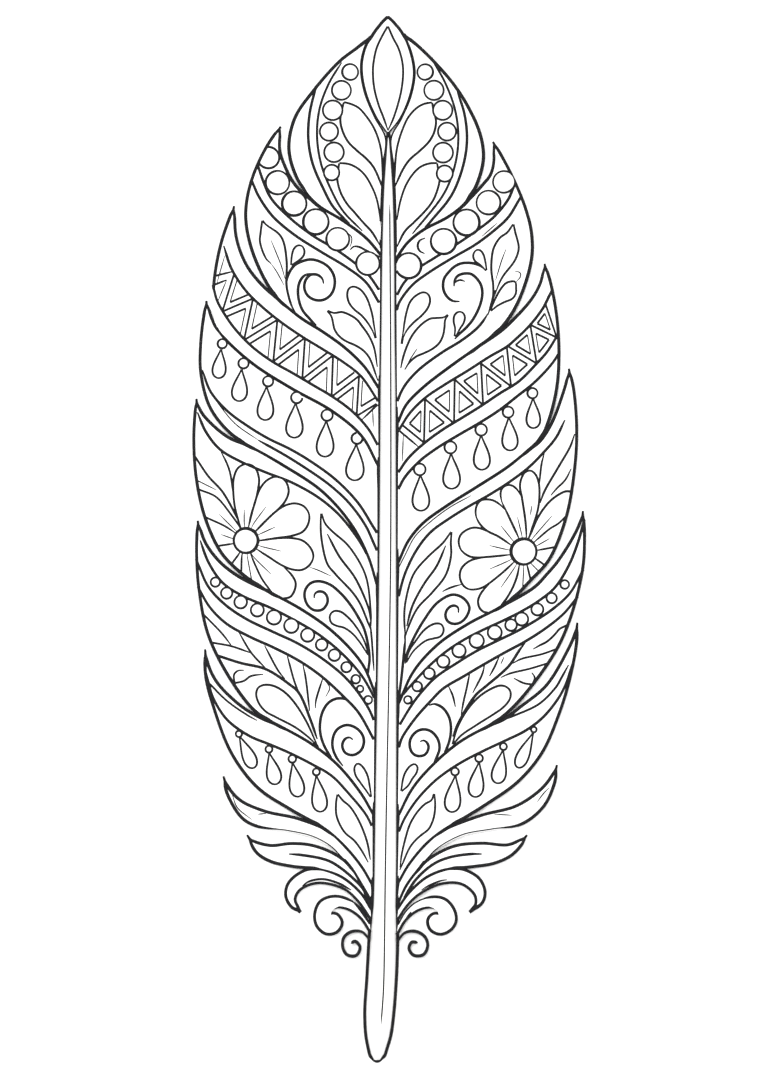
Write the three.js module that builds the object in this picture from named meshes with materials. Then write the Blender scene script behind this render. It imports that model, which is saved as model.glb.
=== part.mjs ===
// An ornamental feather: a straight quill, a crown lobe with a small petal at its tip, and
// overlapping vane locks, plumes and curls down both sides. It lies on its flat-bottomed quill.
// Millimetres: +Y runs to the feather's tip, +X to its right, +Z up from the surface it lies on.
import * as THREE from 'three';
import { mergeVertices } from 'three/addons/utils/BufferGeometryUtils.js';

// Driving dimensions
const THICKNESS = 1.1;        // of every lock
const HALF_GAP = 0.2;         // from the middle of a seam to either lock
const RIM_REACH = 0.4;        // how far a lock's free edge lies outside its outline
const RIM_GROWTH = 0.08;      // how fast that reach grows past the fork of two locks, per mm
const TIP_FADE = 3;           // length over which the reach fades at a pointed tip
const QUILL_GAP = 0.3;        // between the quill and the locks
const EDGE_LIFT = 0.35;       // underside of the vane at its outer edge
const ROOT_RISE = 2.4;        // arch of the vane beside the quill, lower half of the feather
const CROWN_RISE = 0.5;       // the same at the crown
const VANE_REACH = 60;        // distance from the quill at which the arch has come down
const RISE_CHANGE = [20, 115]; // where along the feather the arch changes from one to the other
const CAMBER = 0.7;           // swell across each lock
const CAMBER_WIDTH = 12;      // a lock narrower than this swells less
const STEP = 0.4;             // how much higher each lock's lower edge lies than its upper edge
const STEP_WIDTH = 8;         // a lock narrower than this has less of that step
const TIP_LIFT = 0.8;         // how far a free tip lifts
const TIP_LIFT_POWER = 5;     // how late along the lock it lifts
const STEPS_ALONG = 20;
const STEPS_ACROSS = 3;
const STEPS_ROUND_A_HOOK = 26;
const CURVE_DIVISIONS = 600;

const white = new THREE.MeshStandardMaterial({ color: 0xf4f3ef, roughness: 0.62, metalness: 0 });
const ivory = new THREE.MeshStandardMaterial({ color: 0xefede6, roughness: 0.5, metalness: 0 });
const ink = new THREE.MeshStandardMaterial({ color: 0x1d1d1f, roughness: 0.5, metalness: 0 });

// The quill: distance along the feather, middle, half width and height
const QUILL = [
  [-156.8, -3.6, 0.9, 2.6], [-155.6, -3.5, 1.7, 3.8], [-153.2, -3.4, 2.4, 4.6], [-149.3, -3.2, 3.3, 5.1],
  [-142.4, -2.9, 3.9, 5.4], [-132, -2.2, 3.95, 5.4], [-120.5, -1.7, 3.85, 5.3], [-105, -1.2, 3.7, 5.2],
  [-73, -0.9, 3.5, 5.1], [-17, -0.45, 3, 4.9], [43, -0.3, 2.6, 4.4], [61, -0.3, 2.3, 4.1],
  [82, -0.25, 2.05, 3.5], [104, -0.2, 1.5, 2.7], [112, -0.2, 1, 2.3], [120, -0.2, 0.35, 1.9],
];

// Half of its section: shares of the half width and of the height, from the flat underside up
const QUILL_SECTION = [[0.72, 0], [1, 0.3], [0.92, 0.66], [0.5, 0.94], [0, 1]];

function quillAt(y) {
  const last = QUILL.length - 1;
  if (y <= QUILL[0][0]) return QUILL[0].slice(1);
  if (y >= QUILL[last][0]) return QUILL[last].slice(1);
  const after = QUILL.findIndex((station) => station[0] > y);
  const [low, high] = [QUILL[after - 1], QUILL[after]];
  const part = (y - low[0]) / (high[0] - low[0]);
  return [1, 2, 3].map((column) => THREE.MathUtils.lerp(low[column], high[column], part));
}

// Where a line that ends on the quill starts: side is -1 on the left and 1 on the right
function onQuill(side, y) {
  const [middle, halfWidth] = quillAt(y);
  return [middle + side * (halfWidth + QUILL_GAP), y];
}

function vaneFloor(x, y) {
  const rise = THREE.MathUtils.lerp(ROOT_RISE, CROWN_RISE, THREE.MathUtils.smoothstep(y, ...RISE_CHANGE));
  const across = Math.min(1, Math.abs(x - quillAt(y)[0]) / VANE_REACH);
  return EDGE_LIFT + rise * (1 - across ** 2);
}

// Seams run from the quill to the fork where two locks part. The number is the height at the quill.
const LEFT_SEAMS = [
  [84.9, [-6.9, 89.9], [-13.8, 95.1], [-21.5, 99.9], [-26, 105]],
  [44.9, [-7.3, 51.1], [-13.1, 56.8], [-20, 61.8], [-26.2, 65.7], [-31.9, 70.3], [-34.5, 73]],
  [21.8, [-8.1, 30.3], [-16.9, 37.8], [-29.2, 44.7], [-40.4, 51.8], [-48.8, 59.2], [-51.9, 63.2]],
  [-13.9, [-6.2, -5.8], [-11.2, 3.8], [-20, 13.8], [-32.3, 22], [-41.5, 27.2], [-44.6, 29]],
  [-46.5, [-8.1, -37.8], [-16.9, -28.2], [-26.2, -21.6], [-34.6, -17], [-39.2, -14.4]],
  [-82.8, [-8.5, -76.6], [-15.4, -68.2], [-23.1, -62], [-32.3, -56.8], [-36.5, -54.6]],
  [-103.9, [-8.1, -98.9], [-12.7, -93.2], [-18.1, -88.2], [-21.5, -86]],
  [-109, [-8.3, -103.9], [-11.5, -98.8], [-13.6, -96.6]],
  [-111.4, [-8.5, -106.6], [-14.6, -101.6], [-22.3, -99.3]],
];
const RIGHT_SEAMS = [
  [83.6, [5.5, 88.4], [10.1, 92.2], [17.8, 96.3], [22.4, 99.9], [24.3, 102.4]],
  [34.5, [5.1, 39.7], [10.1, 44.9], [18.9, 51.7], [25.1, 56.1], [31.9, 61.2]],
  [-7.4, [5.8, -1], [10.1, 4.2], [17, 9.3], [26.2, 15.1], [35.5, 21.1], [41.2, 25.7], [45.6, 30]],
  [-49.7, [7.4, -40.1], [14.7, -32], [23.9, -25.8], [32.8, -21.2], [37.5, -17.9]],
  [-83.2, [7, -75.3], [12.8, -68.5], [20.8, -61.6], [28.9, -57], [31.5, -55.6]],
  [-103.5, [5.8, -98.3], [10.8, -92.2], [15.5, -88.3], [19.9, -85.6]],
  [-109.7, [5.1, -104.5], [8.8, -99.5], [10.6, -97.4]],
  [-111.2, [5.8, -106.8], [10.8, -102.2], [15.5, -100], [19.7, -99.2]],
];

// The free edges of each lock, from its forks to its tip: the leading edge faces the crown. It leaves the
// seam one point before the fork, unless it keeps the fork, so the gap between two locks starts as a sharp V.
const LEFT_LOCKS = [
  { name: 'lock_left_1', tip: [-32.5, 123.4],
    leading: [[-28.1, 105.7], [-31.5, 111.8], [-33, 117]],
    outer: [[-38.1, 79.2], [-41.3, 87.2], [-42.8, 94.9], [-42.5, 101.1], [-40.6, 108.4], [-36.9, 116.5]] },
  { name: 'lock_left_2', tip: [-46.5, 99.5],
    leading: [[-38.5, 76.1], [-43.1, 82.2], [-46, 90.3]],
    outer: [[-52.6, 68.5], [-52.3, 77.2], [-50.4, 87.6]] },
  { name: 'lock_left_3', tip: [-54.8, 71.1], keepsFork: true,
    leading: [[-53.4, 66]],
    outer: [[-49.6, 33.4], [-53.8, 39.5], [-56.3, 49.2], [-56.3, 58.4]] },
  { name: 'lock_left_4', tip: [-57.8, 41.7],
    leading: [[-48.1, 29.9], [-53.8, 34.5], [-56.6, 38]],
    outer: [[-45.4, -9.7], [-50.4, -4.3], [-55, 5.7], [-57.6, 17.2], [-58.4, 28.8]] },
  { name: 'lock_left_5', tip: [-57.4, 5.1],
    leading: [[-45.4, -11.6], [-51.2, -7], [-55.4, -1.2]],
    outer: [[-40.8, -51.4], [-48.5, -40.8], [-54.2, -28.9], [-56.8, -15.8], [-57.5, -6]] },
  { name: 'lock_left_6', tip: [-55.2, -33.5],
    leading: [[-38.5, -54.2], [-44.6, -50.5], [-51.7, -43.5], [-54.4, -38]],
    outer: [[-30, -81.2], [-39.2, -75.1], [-46.9, -65.1], [-52.5, -50.8], [-54.8, -42]] },
  { name: 'plume_left_7', tip: [-49.7, -71.6],
    leading: [[-27.3, -84.4], [-36.9, -82.3], [-44.2, -79.2], [-47.7, -75.7]],
    outer: [[-17.3, -92.6], [-23.1, -89.5], [-30, -87.9], [-40, -86.4], [-44.2, -83.9], [-48.5, -76.8]] },
  { name: 'plume_left_8', tip: [-42.6, -89.2],
    leading: [[-16.5, -94.9], [-23.1, -92.4], [-29.2, -91.9], [-35.4, -92.5], [-40.8, -91]],
    outer: [[-29.2, -98.5], [-35.4, -97.1], [-39.6, -94.5]] },
];
const RIGHT_LOCKS = [
  { name: 'lock_right_1', tip: [31.2, 118.8],
    leading: [[28.2, 105.9], [30.7, 109.2], [31.7, 113.8]],
    outer: [[35.5, 65.3], [39.3, 72.2], [42.6, 83.4], [42.6, 91.1], [40.8, 98.4], [37, 107.6]] },
  { name: 'lock_right_2', tip: [46.7, 82.2],
    leading: [[33.6, 61.9], [37.4, 65.4], [43, 71.7], [45.7, 76.8]],
    outer: [[47.6, 34.5], [50.1, 44.5], [50.8, 54.2], [50.3, 64.5], [48.7, 74.5]] },
  { name: 'lock_right_3', tip: [54, 50.7],
    leading: [[45.4, 28.9], [48.9, 34.2], [51.6, 41], [53.5, 47.4]],
    outer: [[42.3, -12.9], [47.8, -6.8], [53, 6.1], [55.5, 20.7], [56.1, 32.2], [55.3, 43.8]] },
  { name: 'lock_right_4', tip: [58.2, 8],
    leading: [[43.6, -15], [47.5, -11], [50.8, -7.1], [55.3, 0], [57.4, 4.5]],
    outer: [[36.6, -51.4], [44.3, -42.4], [50.8, -32.4], [55.1, -21.6], [58, -9], [58.5, 0]] },
  { name: 'lock_right_5', tip: [56.5, -25.5],
    leading: [[34.5, -54.6], [39.3, -51], [47.4, -44.3], [53.9, -33.5], [55.8, -29]],
    outer: [[28.9, -80.1], [38.5, -73.3], [45.7, -64.7], [50.5, -53.9], [53.7, -43.9], [56, -32.8]] },
  { name: 'plume_right_6', tip: [50.4, -68.2],
    leading: [[27.4, -83.5], [38.2, -80.6], [45.5, -75.7], [48.7, -71.8]],
    outer: [[14.1, -93.4], [22, -89.1], [30.8, -87.4], [39.7, -85.9], [46.2, -80.8], [49.5, -73.9]] },
  { name: 'plume_right_7', tip: [41.4, -89.2],
    leading: [[12.8, -95.9], [19.7, -92.6], [27.8, -91.8], [35.5, -92.3], [39.7, -90.5]],
    outer: [[26.2, -98.5], [31.6, -97.6], [36.6, -95.3], [40.1, -91.6]] },
];

// The crown's halves meet the quill and the petal on their inner edges and end at a peak beside the
// petal; the petal's own edge goes on from there over its shoulder to the apex
const CROWN = {
  left: {
    inner: [[-4.2, 126.5], [-7.3, 134.2], [-8.3, 141.5], [-7.2, 147]],
    outer: [[-29.3, 112.5], [-30, 118.4], [-28.1, 126.1], [-23.1, 133.4], [-15, 142.6], [-9.6, 146.8]],
    peak: [-5.4, 150.3],
    shoulder: [-2.4, 154.1],
  },
  right: {
    inner: [[3.5, 125.8], [6.4, 132.6], [7.6, 139.5], [6.6, 145.5]],
    outer: [[26.6, 106.8], [28.3, 113.8], [27.4, 120.7], [23.9, 128.8], [18.9, 136.5], [10.1, 146.1]],
    peak: [4.3, 151.1],
    shoulder: [1.7, 154.2],
  },
};
const APEX = [-0.4, 156.6];
const CROWN_FOOT = 2;         // how far above the seam a crown half's inner edge starts
const CROWN_BESIDE_QUILL = [96, 104, 112, 120];
const PETAL_FOOT = { left: [-0.7, 121.2], right: [-0.05, 121.2] };

// Curls at the foot of the vane: the back of each leaves the quill above its belly
const CURLS = {
  left: {
    a: { back: LEFT_SEAMS[8], roundBack: [[-26.9, -100.8], [-30.2, -103.9], [-30.9, -107.4], [-29.4, -110.5]],
      belly: [-114.6, [-9.2, -109.3], [-13.5, -105.5], [-21.2, -103.7], [-26.5, -105.7], [-28, -108.5]],
      tip: [-26.5, -112.4] },
    b: { back: [-115.6, [-8.5, -110.8], [-12.7, -108.2]],
      roundBack: [[-17.3, -107.8], [-20.8, -109.5], [-22.2, -113.2], [-21.5, -116.6], [-18.8, -118.8],
        [-15.8, -118.3], [-14.2, -115.8], [-15.4, -113.3], [-17.7, -113]],
      belly: [-118.4, [-8.7, -114.1], [-12.3, -111.6], [-15.8, -111], [-18, -112.3]], tip: [-18.7, -114.3] },
    c: [-120.6, [-8.1, -118.3], [-11.2, -118.2], [-13.5, -119.9], [-13.9, -122.8], [-12.5, -125.2],
      [-9.8, -125.3], [-8.7, -122.8], [-10.2, -121.1], [-11.5, -121.8]],
  },
  right: {
    a: { back: RIGHT_SEAMS[7], roundBack: [[23.5, -100.1], [27.2, -102.6], [28.7, -106.2], [28, -109.3]],
      belly: [-114.8, [5.3, -110.7], [8.9, -107.2], [15.5, -104], [21.6, -104], [25.5, -107.2],
        [25.8, -109.9]],
      tip: [24.1, -112.4] },
    b: { back: [-116, [4.9, -112], [8.2, -109.1], [12.8, -107.7]],
      roundBack: [[17, -108.7], [19.5, -111.8], [20, -115.1], [18.5, -117.6], [15.5, -118.9], [12.6, -117.7],
        [11.7, -115.1], [12.8, -113.3], [14.7, -113]],
      belly: [-119.2, [4.9, -115.1], [8.2, -112.2], [12, -111], [15.1, -111.8]], tip: [16.2, -114.4] },
    c: [-121.3, [4.7, -118.6], [7.8, -118.1], [10.7, -119.7], [11.6, -122.4], [10.3, -125.1],
      [7.4, -125.3], [6, -123.3], [6.8, -121.4], [8.7, -121.5]],
  },
};
const STRAND_WIDTH = 0.9;     // of the small curl's strand where it leaves the quill
const STRAND_TAPER = [0.35, 20]; // share of that width at its end, and the length over which it thins
const HOOK_LEAD = 0.6;        // below 1, the belly of a hooked curl runs ahead of its back

function seamPoints(side, seam) {
  return [onQuill(side, seam[0]), ...seam.slice(1)];
}

// Points evenly spaced along a smooth line, each moved sideways by the amount that
// reach(distance past the fork, distance to the end) gives
function edgeLine(points, forkIndex, outward, reach, steps = STEPS_ALONG) {
  const corners = points.map(([x, y]) => new THREE.Vector3(x, y, 0));
  const curve = new THREE.CatmullRomCurve3(corners, false, 'centripetal');
  curve.arcLengthDivisions = CURVE_DIVISIONS;
  const length = curve.getLength();
  const forkDivision = Math.round(forkIndex / (points.length - 1) * CURVE_DIVISIONS);
  const fork = curve.getLengths(CURVE_DIVISIONS)[forkDivision];
  return Array.from({ length: steps + 1 }, (_, step) => {
    const part = step / steps;
    const place = curve.getPointAt(part);
    const along = curve.getTangentAt(part);
    const amount = reach(part * length - fork, length * (1 - part));
    return new THREE.Vector2(place.x + outward * along.y * amount, place.y - outward * along.x * amount);
  });
}

function rimReach(pastFork, toTip) {
  const reach = -HALF_GAP + THREE.MathUtils.clamp(pastFork * RIM_GROWTH, 0, RIM_REACH + HALF_GAP);
  return reach * Math.min(1, toTip / TIP_FADE);
}

// A closed shell between two edge lines that run from the quill to a shared tip
function lockShell(leading, outer, lead = 1) {
  const steps = leading.length - 1;
  const top = [];
  const bottom = [];
  for (let row = 0; row <= steps; row++) {
    const along = row / steps;
    const from = leading[row];
    const to = outer[row];
    const width = from.distanceTo(to);
    for (let column = 0; column <= STEPS_ACROSS; column++) {
      const across = column / STEPS_ACROSS;
      const place = from.clone().lerp(to, across);
      const swell = CAMBER * Math.min(1, width / CAMBER_WIDTH) * Math.sin(Math.PI * across);
      const slope = STEP * (across - 0.5) * Math.min(1, width / STEP_WIDTH);
      const height = vaneFloor(place.x, place.y) + swell + slope + lead * TIP_LIFT * along ** TIP_LIFT_POWER;
      bottom.push([place.x, place.y, height]);
      top.push([place.x, place.y, height + THICKNESS]);
    }
  }
  return closeShell(top, bottom, steps, STEPS_ACROSS);
}

function closeShell(top, bottom, rows, columns) {
  const triangles = [];
  const quad = (a, b, c, d) => triangles.push([a, b, c], [a, c, d]);
  const index = (row, column) => row * (columns + 1) + column;
  const under = top.length;
  const wall = (from, to) => quad(from, from + under, to + under, to);
  for (let row = 0; row < rows; row++) {
    for (let column = 0; column < columns; column++) {
      const near = [index(row, column), index(row + 1, column)];
      const far = [index(row + 1, column + 1), index(row, column + 1)];
      const corners = [...near, ...far];
      quad(...corners);
      quad(...corners.reverse().map((corner) => corner + under));
    }
    wall(index(row, 0), index(row + 1, 0));
    wall(index(row + 1, columns), index(row, columns));
  }
  for (let column = 0; column < columns; column++) {
    wall(index(0, column + 1), index(0, column));
    wall(index(rows, column), index(rows, column + 1));
  }
  return solid([...top, ...bottom], triangles);
}

// Shares the corners, drops the empty triangles of a pointed tip and turns the faces outward
function solid(corners, triangles) {
  let geometry = new THREE.BufferGeometry();
  geometry.setAttribute('position', new THREE.Float32BufferAttribute(corners.flat(), 3));
  geometry.setIndex(triangles.flat());
  geometry = mergeVertices(geometry, 1e-3);
  const index = geometry.getIndex();
  const kept = [];
  for (let start = 0; start < index.count; start += 3) {
    const [a, b, c] = [0, 1, 2].map((corner) => index.getX(start + corner));
    if (a !== b && b !== c && c !== a) kept.push([a, b, c]);
  }
  geometry.setIndex((volume(geometry, kept) < 0 ? kept.map((face) => face.reverse()) : kept).flat());
  geometry.computeVertexNormals();
  return geometry;
}

function volume(geometry, faces) {
  const position = geometry.getAttribute('position');
  const corner = (index) => new THREE.Vector3().fromBufferAttribute(position, index);
  return faces.reduce((sum, [a, b, c]) => sum + corner(a).dot(corner(b).cross(corner(c))), 0) / 6;
}

function quillSolid() {
  const mirrored = QUILL_SECTION.slice(0, -1).reverse().map(([across, up]) => [-across, up]);
  const ring = [...QUILL_SECTION, ...mirrored];
  const corners = [];
  const triangles = [];
  QUILL.forEach(([y, middle, halfWidth, height]) => {
    ring.forEach(([across, up]) => corners.push([middle + across * halfWidth, y, up * height]));
  });
  for (let station = 0; station < QUILL.length - 1; station++) {
    ring.forEach((_, side) => {
      const next = (side + 1) % ring.length;
      const [a, b] = [station * ring.length + side, station * ring.length + next];
      triangles.push([a, b, b + ring.length], [a, b + ring.length, a + ring.length]);
    });
  }
  const end = (QUILL.length - 1) * ring.length;
  for (let side = 1; side < ring.length - 1; side++) {
    triangles.push([0, side + 1, side], [end, end + side, end + side + 1]);
  }
  return solid(corners, triangles);
}

function vaneLock(side, lock, upperSeam, lowerSeam) {
  const besideSeam = seamPoints(side, upperSeam).slice(0, lock.keepsFork ? undefined : -1);
  const upper = [...besideSeam, ...lock.leading, lock.tip];
  const lower = [...seamPoints(side, lowerSeam), ...lock.outer, lock.tip];
  return lockShell(
    edgeLine(upper, besideSeam.length - 1, -side, rimReach),
    edgeLine(lower, lowerSeam.length - 1, side, rimReach),
  );
}

function crownHalf(side, half, seam) {
  const besideQuill = [seam[0] + CROWN_FOOT, ...CROWN_BESIDE_QUILL].map((y) => onQuill(side, y));
  const inner = [...besideQuill, ...half.inner, half.peak];
  const outer = [...seamPoints(side, seam), ...half.outer, half.peak];
  return lockShell(
    edgeLine(inner, inner.length - 1, -side, rimReach),
    edgeLine(outer, seam.length - 1, side, rimReach),
    0,
  );
}

function tipPetal() {
  const { left, right } = CROWN;
  const rightEdge = [PETAL_FOOT.right, ...right.inner, right.peak, right.shoulder, APEX];
  const leftEdge = [PETAL_FOOT.left, ...left.inner, left.peak, left.shoulder, APEX];
  return lockShell(
    edgeLine(rightEdge, right.inner.length + 1, 1, rimReach),
    edgeLine(leftEdge, left.inner.length + 1, -1, rimReach),
    0,
  );
}

function curl(side, { back, roundBack, belly, tip }) {
  const backLine = [...seamPoints(side, back), ...roundBack, tip];
  const bellyLine = [...seamPoints(side, belly), tip];
  return lockShell(
    edgeLine(backLine, back.length - 1, -side, rimReach),
    edgeLine(bellyLine, belly.length, side, rimReach),
    0,
  );
}

// A hooked curl ends in a round eye, so its belly is sampled ahead of its back
function hookedCurl(side, { back, roundBack, belly, tip }) {
  const steps = STEPS_ROUND_A_HOOK;
  const finer = steps * 40;
  const backLine = [...seamPoints(side, back), ...roundBack, tip];
  const bellyLine = [...seamPoints(side, belly), tip];
  const fine = edgeLine(bellyLine, belly.length, side, rimReach, finer);
  const ahead = Array.from({ length: steps + 1 }, (_, step) => (
    fine[Math.round((step / steps) ** HOOK_LEAD * finer)]
  ));
  return lockShell(edgeLine(backLine, back.length - 1, -side, rimReach, steps), ahead, 0);
}

function strand(side, points) {
  const [endShare, taperLength] = STRAND_TAPER;
  const line = seamPoints(side, points);
  const halfWidth = (_, toTip) => (
    STRAND_WIDTH / 2 * Math.min(1, endShare + toTip / taperLength) * Math.min(1, toTip)
  );
  return lockShell(
    edgeLine(line, 0, -side, halfWidth, STEPS_ROUND_A_HOOK),
    edgeLine(line, 0, side, halfWidth, STEPS_ROUND_A_HOOK),
    0,
  );
}

const feather = new THREE.Group();

function add(name, geometry, material) {
  const mesh = new THREE.Mesh(geometry, material);
  mesh.name = name;
  feather.add(mesh);
}

add('quill', quillSolid(), ivory);
add('tip_petal', tipPetal(), white);
add('crown_left', crownHalf(-1, CROWN.left, LEFT_SEAMS[0]), white);
add('crown_right', crownHalf(1, CROWN.right, RIGHT_SEAMS[0]), white);
LEFT_LOCKS.forEach((lock, row) => {
  add(lock.name, vaneLock(-1, lock, LEFT_SEAMS[row], LEFT_SEAMS[row + 1]), white);
});
RIGHT_LOCKS.forEach((lock, row) => {
  add(lock.name, vaneLock(1, lock, RIGHT_SEAMS[row], RIGHT_SEAMS[row + 1]), white);
});
for (const [sideName, side] of [['left', -1], ['right', 1]]) {
  add(`curl_${sideName}_a`, curl(side, CURLS[sideName].a), white);
  add(`curl_${sideName}_b`, hookedCurl(side, CURLS[sideName].b), white);
  add(`curl_${sideName}_c`, strand(side, CURLS[sideName].c), ink);
}

export default feather;
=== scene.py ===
import math

import bmesh
import bpy
import numpy as np
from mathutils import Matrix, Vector
from mathutils.bvhtree import BVHTree


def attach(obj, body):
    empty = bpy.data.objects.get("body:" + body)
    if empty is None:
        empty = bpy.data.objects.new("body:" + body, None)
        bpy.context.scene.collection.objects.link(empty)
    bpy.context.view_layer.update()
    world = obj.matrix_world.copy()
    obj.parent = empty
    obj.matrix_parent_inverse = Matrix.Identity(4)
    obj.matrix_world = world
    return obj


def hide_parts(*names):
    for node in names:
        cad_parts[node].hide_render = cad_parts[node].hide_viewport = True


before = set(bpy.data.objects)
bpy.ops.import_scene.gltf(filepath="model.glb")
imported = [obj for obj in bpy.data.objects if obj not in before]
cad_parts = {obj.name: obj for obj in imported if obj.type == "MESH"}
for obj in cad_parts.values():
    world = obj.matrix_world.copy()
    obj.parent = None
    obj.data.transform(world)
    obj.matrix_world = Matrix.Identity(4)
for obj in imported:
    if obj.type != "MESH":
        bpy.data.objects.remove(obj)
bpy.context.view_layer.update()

bl_info = {
    "name": "Ornamental feather",
    "version": (1, 0, 0),
    "blender": (4, 5, 0),
    "location": "View3D > Sidebar > Feather",
    "description": "Builds a flat ornamental feather with raised black line ornament",
    "category": "Add Mesh",
}

MM = 0.001
BODY = "root"

# Outlines in millimetres, +X right and +Y to the feather's tip, as in the part's source.
# Quill stations: distance along the feather, middle, half width, height
QUILL = [(-156.8, -3.6, 0.9, 2.6), (-155.6, -3.5, 1.7, 3.8), (-153.2, -3.4, 2.4, 4.6),
         (-149.3, -3.2, 3.3, 5.1), (-142.4, -2.9, 3.9, 5.4), (-132, -2.2, 3.95, 5.4),
         (-120.5, -1.7, 3.85, 5.3), (-105, -1.2, 3.7, 5.2), (-73, -0.9, 3.5, 5.1), (-17, -0.45, 3, 4.9),
         (43, -0.3, 2.6, 4.4), (61, -0.3, 2.3, 4.1), (82, -0.25, 2.05, 3.5), (104, -0.2, 1.5, 2.7),
         (112, -0.2, 1, 2.3), (120, -0.2, 0.35, 1.9)]
QUILL_SECTION = [(0.72, 0), (1, 0.3), (0.92, 0.66), (0.5, 0.94), (0, 1)]
QUILL_GAP = 0.3           # between the quill and a lock's foot
THICKNESS = 1.1
HALF_GAP = 0.2            # half the gap along a seam
RIM_REACH = 0.4           # how far a free edge stands out past its points
RIM_GROWTH = 0.08         # how fast it comes out past the fork, mm for each mm
TIP_FADE = 3              # length before the tip over which it goes back
EDGE_LIFT = 0.35          # height of the underside far from the quill
ROOT_RISE = 2.4           # how much higher it is beside the quill, on the lower part
CROWN_RISE = 0.5          # the same at the crown
RISE_START = 20           # where the one begins to change into the other, and over what length
RISE_CHANGE = 95
VANE_REACH = 60           # from the quill to where the underside is down at its edge's height
CAMBER = 0.7
CAMBER_WIDTH = 12         # a lock that is narrower than this has less camber
STEP = 0.4                # how far a lock's outer edge stands above its leading edge
STEP_WIDTH = 8            # a lock that is narrower than this has less of a step
TIP_LIFT = 0.8            # how far a lock's tip turns up
TIP_LIFT_POWER = 5

# Seams run from the quill to the fork where two locks part; the first number is the height at the quill
LEFT_SEAMS = [
    (84.9, [(-6.9, 89.9), (-13.8, 95.1), (-21.5, 99.9), (-26, 105)]),
    (44.9, [(-7.3, 51.1), (-13.1, 56.8), (-20, 61.8), (-26.2, 65.7), (-31.9, 70.3), (-34.5, 73)]),
    (21.8, [(-8.1, 30.3), (-16.9, 37.8), (-29.2, 44.7), (-40.4, 51.8), (-48.8, 59.2), (-51.9, 63.2)]),
    (-13.9, [(-6.2, -5.8), (-11.2, 3.8), (-20, 13.8), (-32.3, 22), (-41.5, 27.2), (-44.6, 29)]),
    (-46.5, [(-8.1, -37.8), (-16.9, -28.2), (-26.2, -21.6), (-34.6, -17), (-39.2, -14.4)]),
    (-82.8, [(-8.5, -76.6), (-15.4, -68.2), (-23.1, -62), (-32.3, -56.8), (-36.5, -54.6)]),
    (-103.9, [(-8.1, -98.9), (-12.7, -93.2), (-18.1, -88.2), (-21.5, -86)]),
    (-109, [(-8.3, -103.9), (-11.5, -98.8), (-13.6, -96.6)]),
    (-111.4, [(-8.5, -106.6), (-14.6, -101.6), (-22.3, -99.3)]),
]
RIGHT_SEAMS = [
    (83.6, [(5.5, 88.4), (10.1, 92.2), (17.8, 96.3), (22.4, 99.9), (24.3, 102.4)]),
    (34.5, [(5.1, 39.7), (10.1, 44.9), (18.9, 51.7), (25.1, 56.1), (31.9, 61.2)]),
    (-7.4, [(5.8, -1), (10.1, 4.2), (17, 9.3), (26.2, 15.1), (35.5, 21.1), (41.2, 25.7), (45.6, 30)]),
    (-49.7, [(7.4, -40.1), (14.7, -32), (23.9, -25.8), (32.8, -21.2), (37.5, -17.9)]),
    (-83.2, [(7, -75.3), (12.8, -68.5), (20.8, -61.6), (28.9, -57), (31.5, -55.6)]),
    (-103.5, [(5.8, -98.3), (10.8, -92.2), (15.5, -88.3), (19.9, -85.6)]),
    (-109.7, [(5.1, -104.5), (8.8, -99.5), (10.6, -97.4)]),
    (-111.2, [(5.8, -106.8), (10.8, -102.2), (15.5, -100), (19.7, -99.2)]),
]
# The free edges of each lock, from its forks to its tip: leading edge, outer edge, tip. A leading edge
# leaves the seam one point before the fork, unless it keeps the fork.
KEEPS_FORK = {"lock_left_3"}
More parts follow.
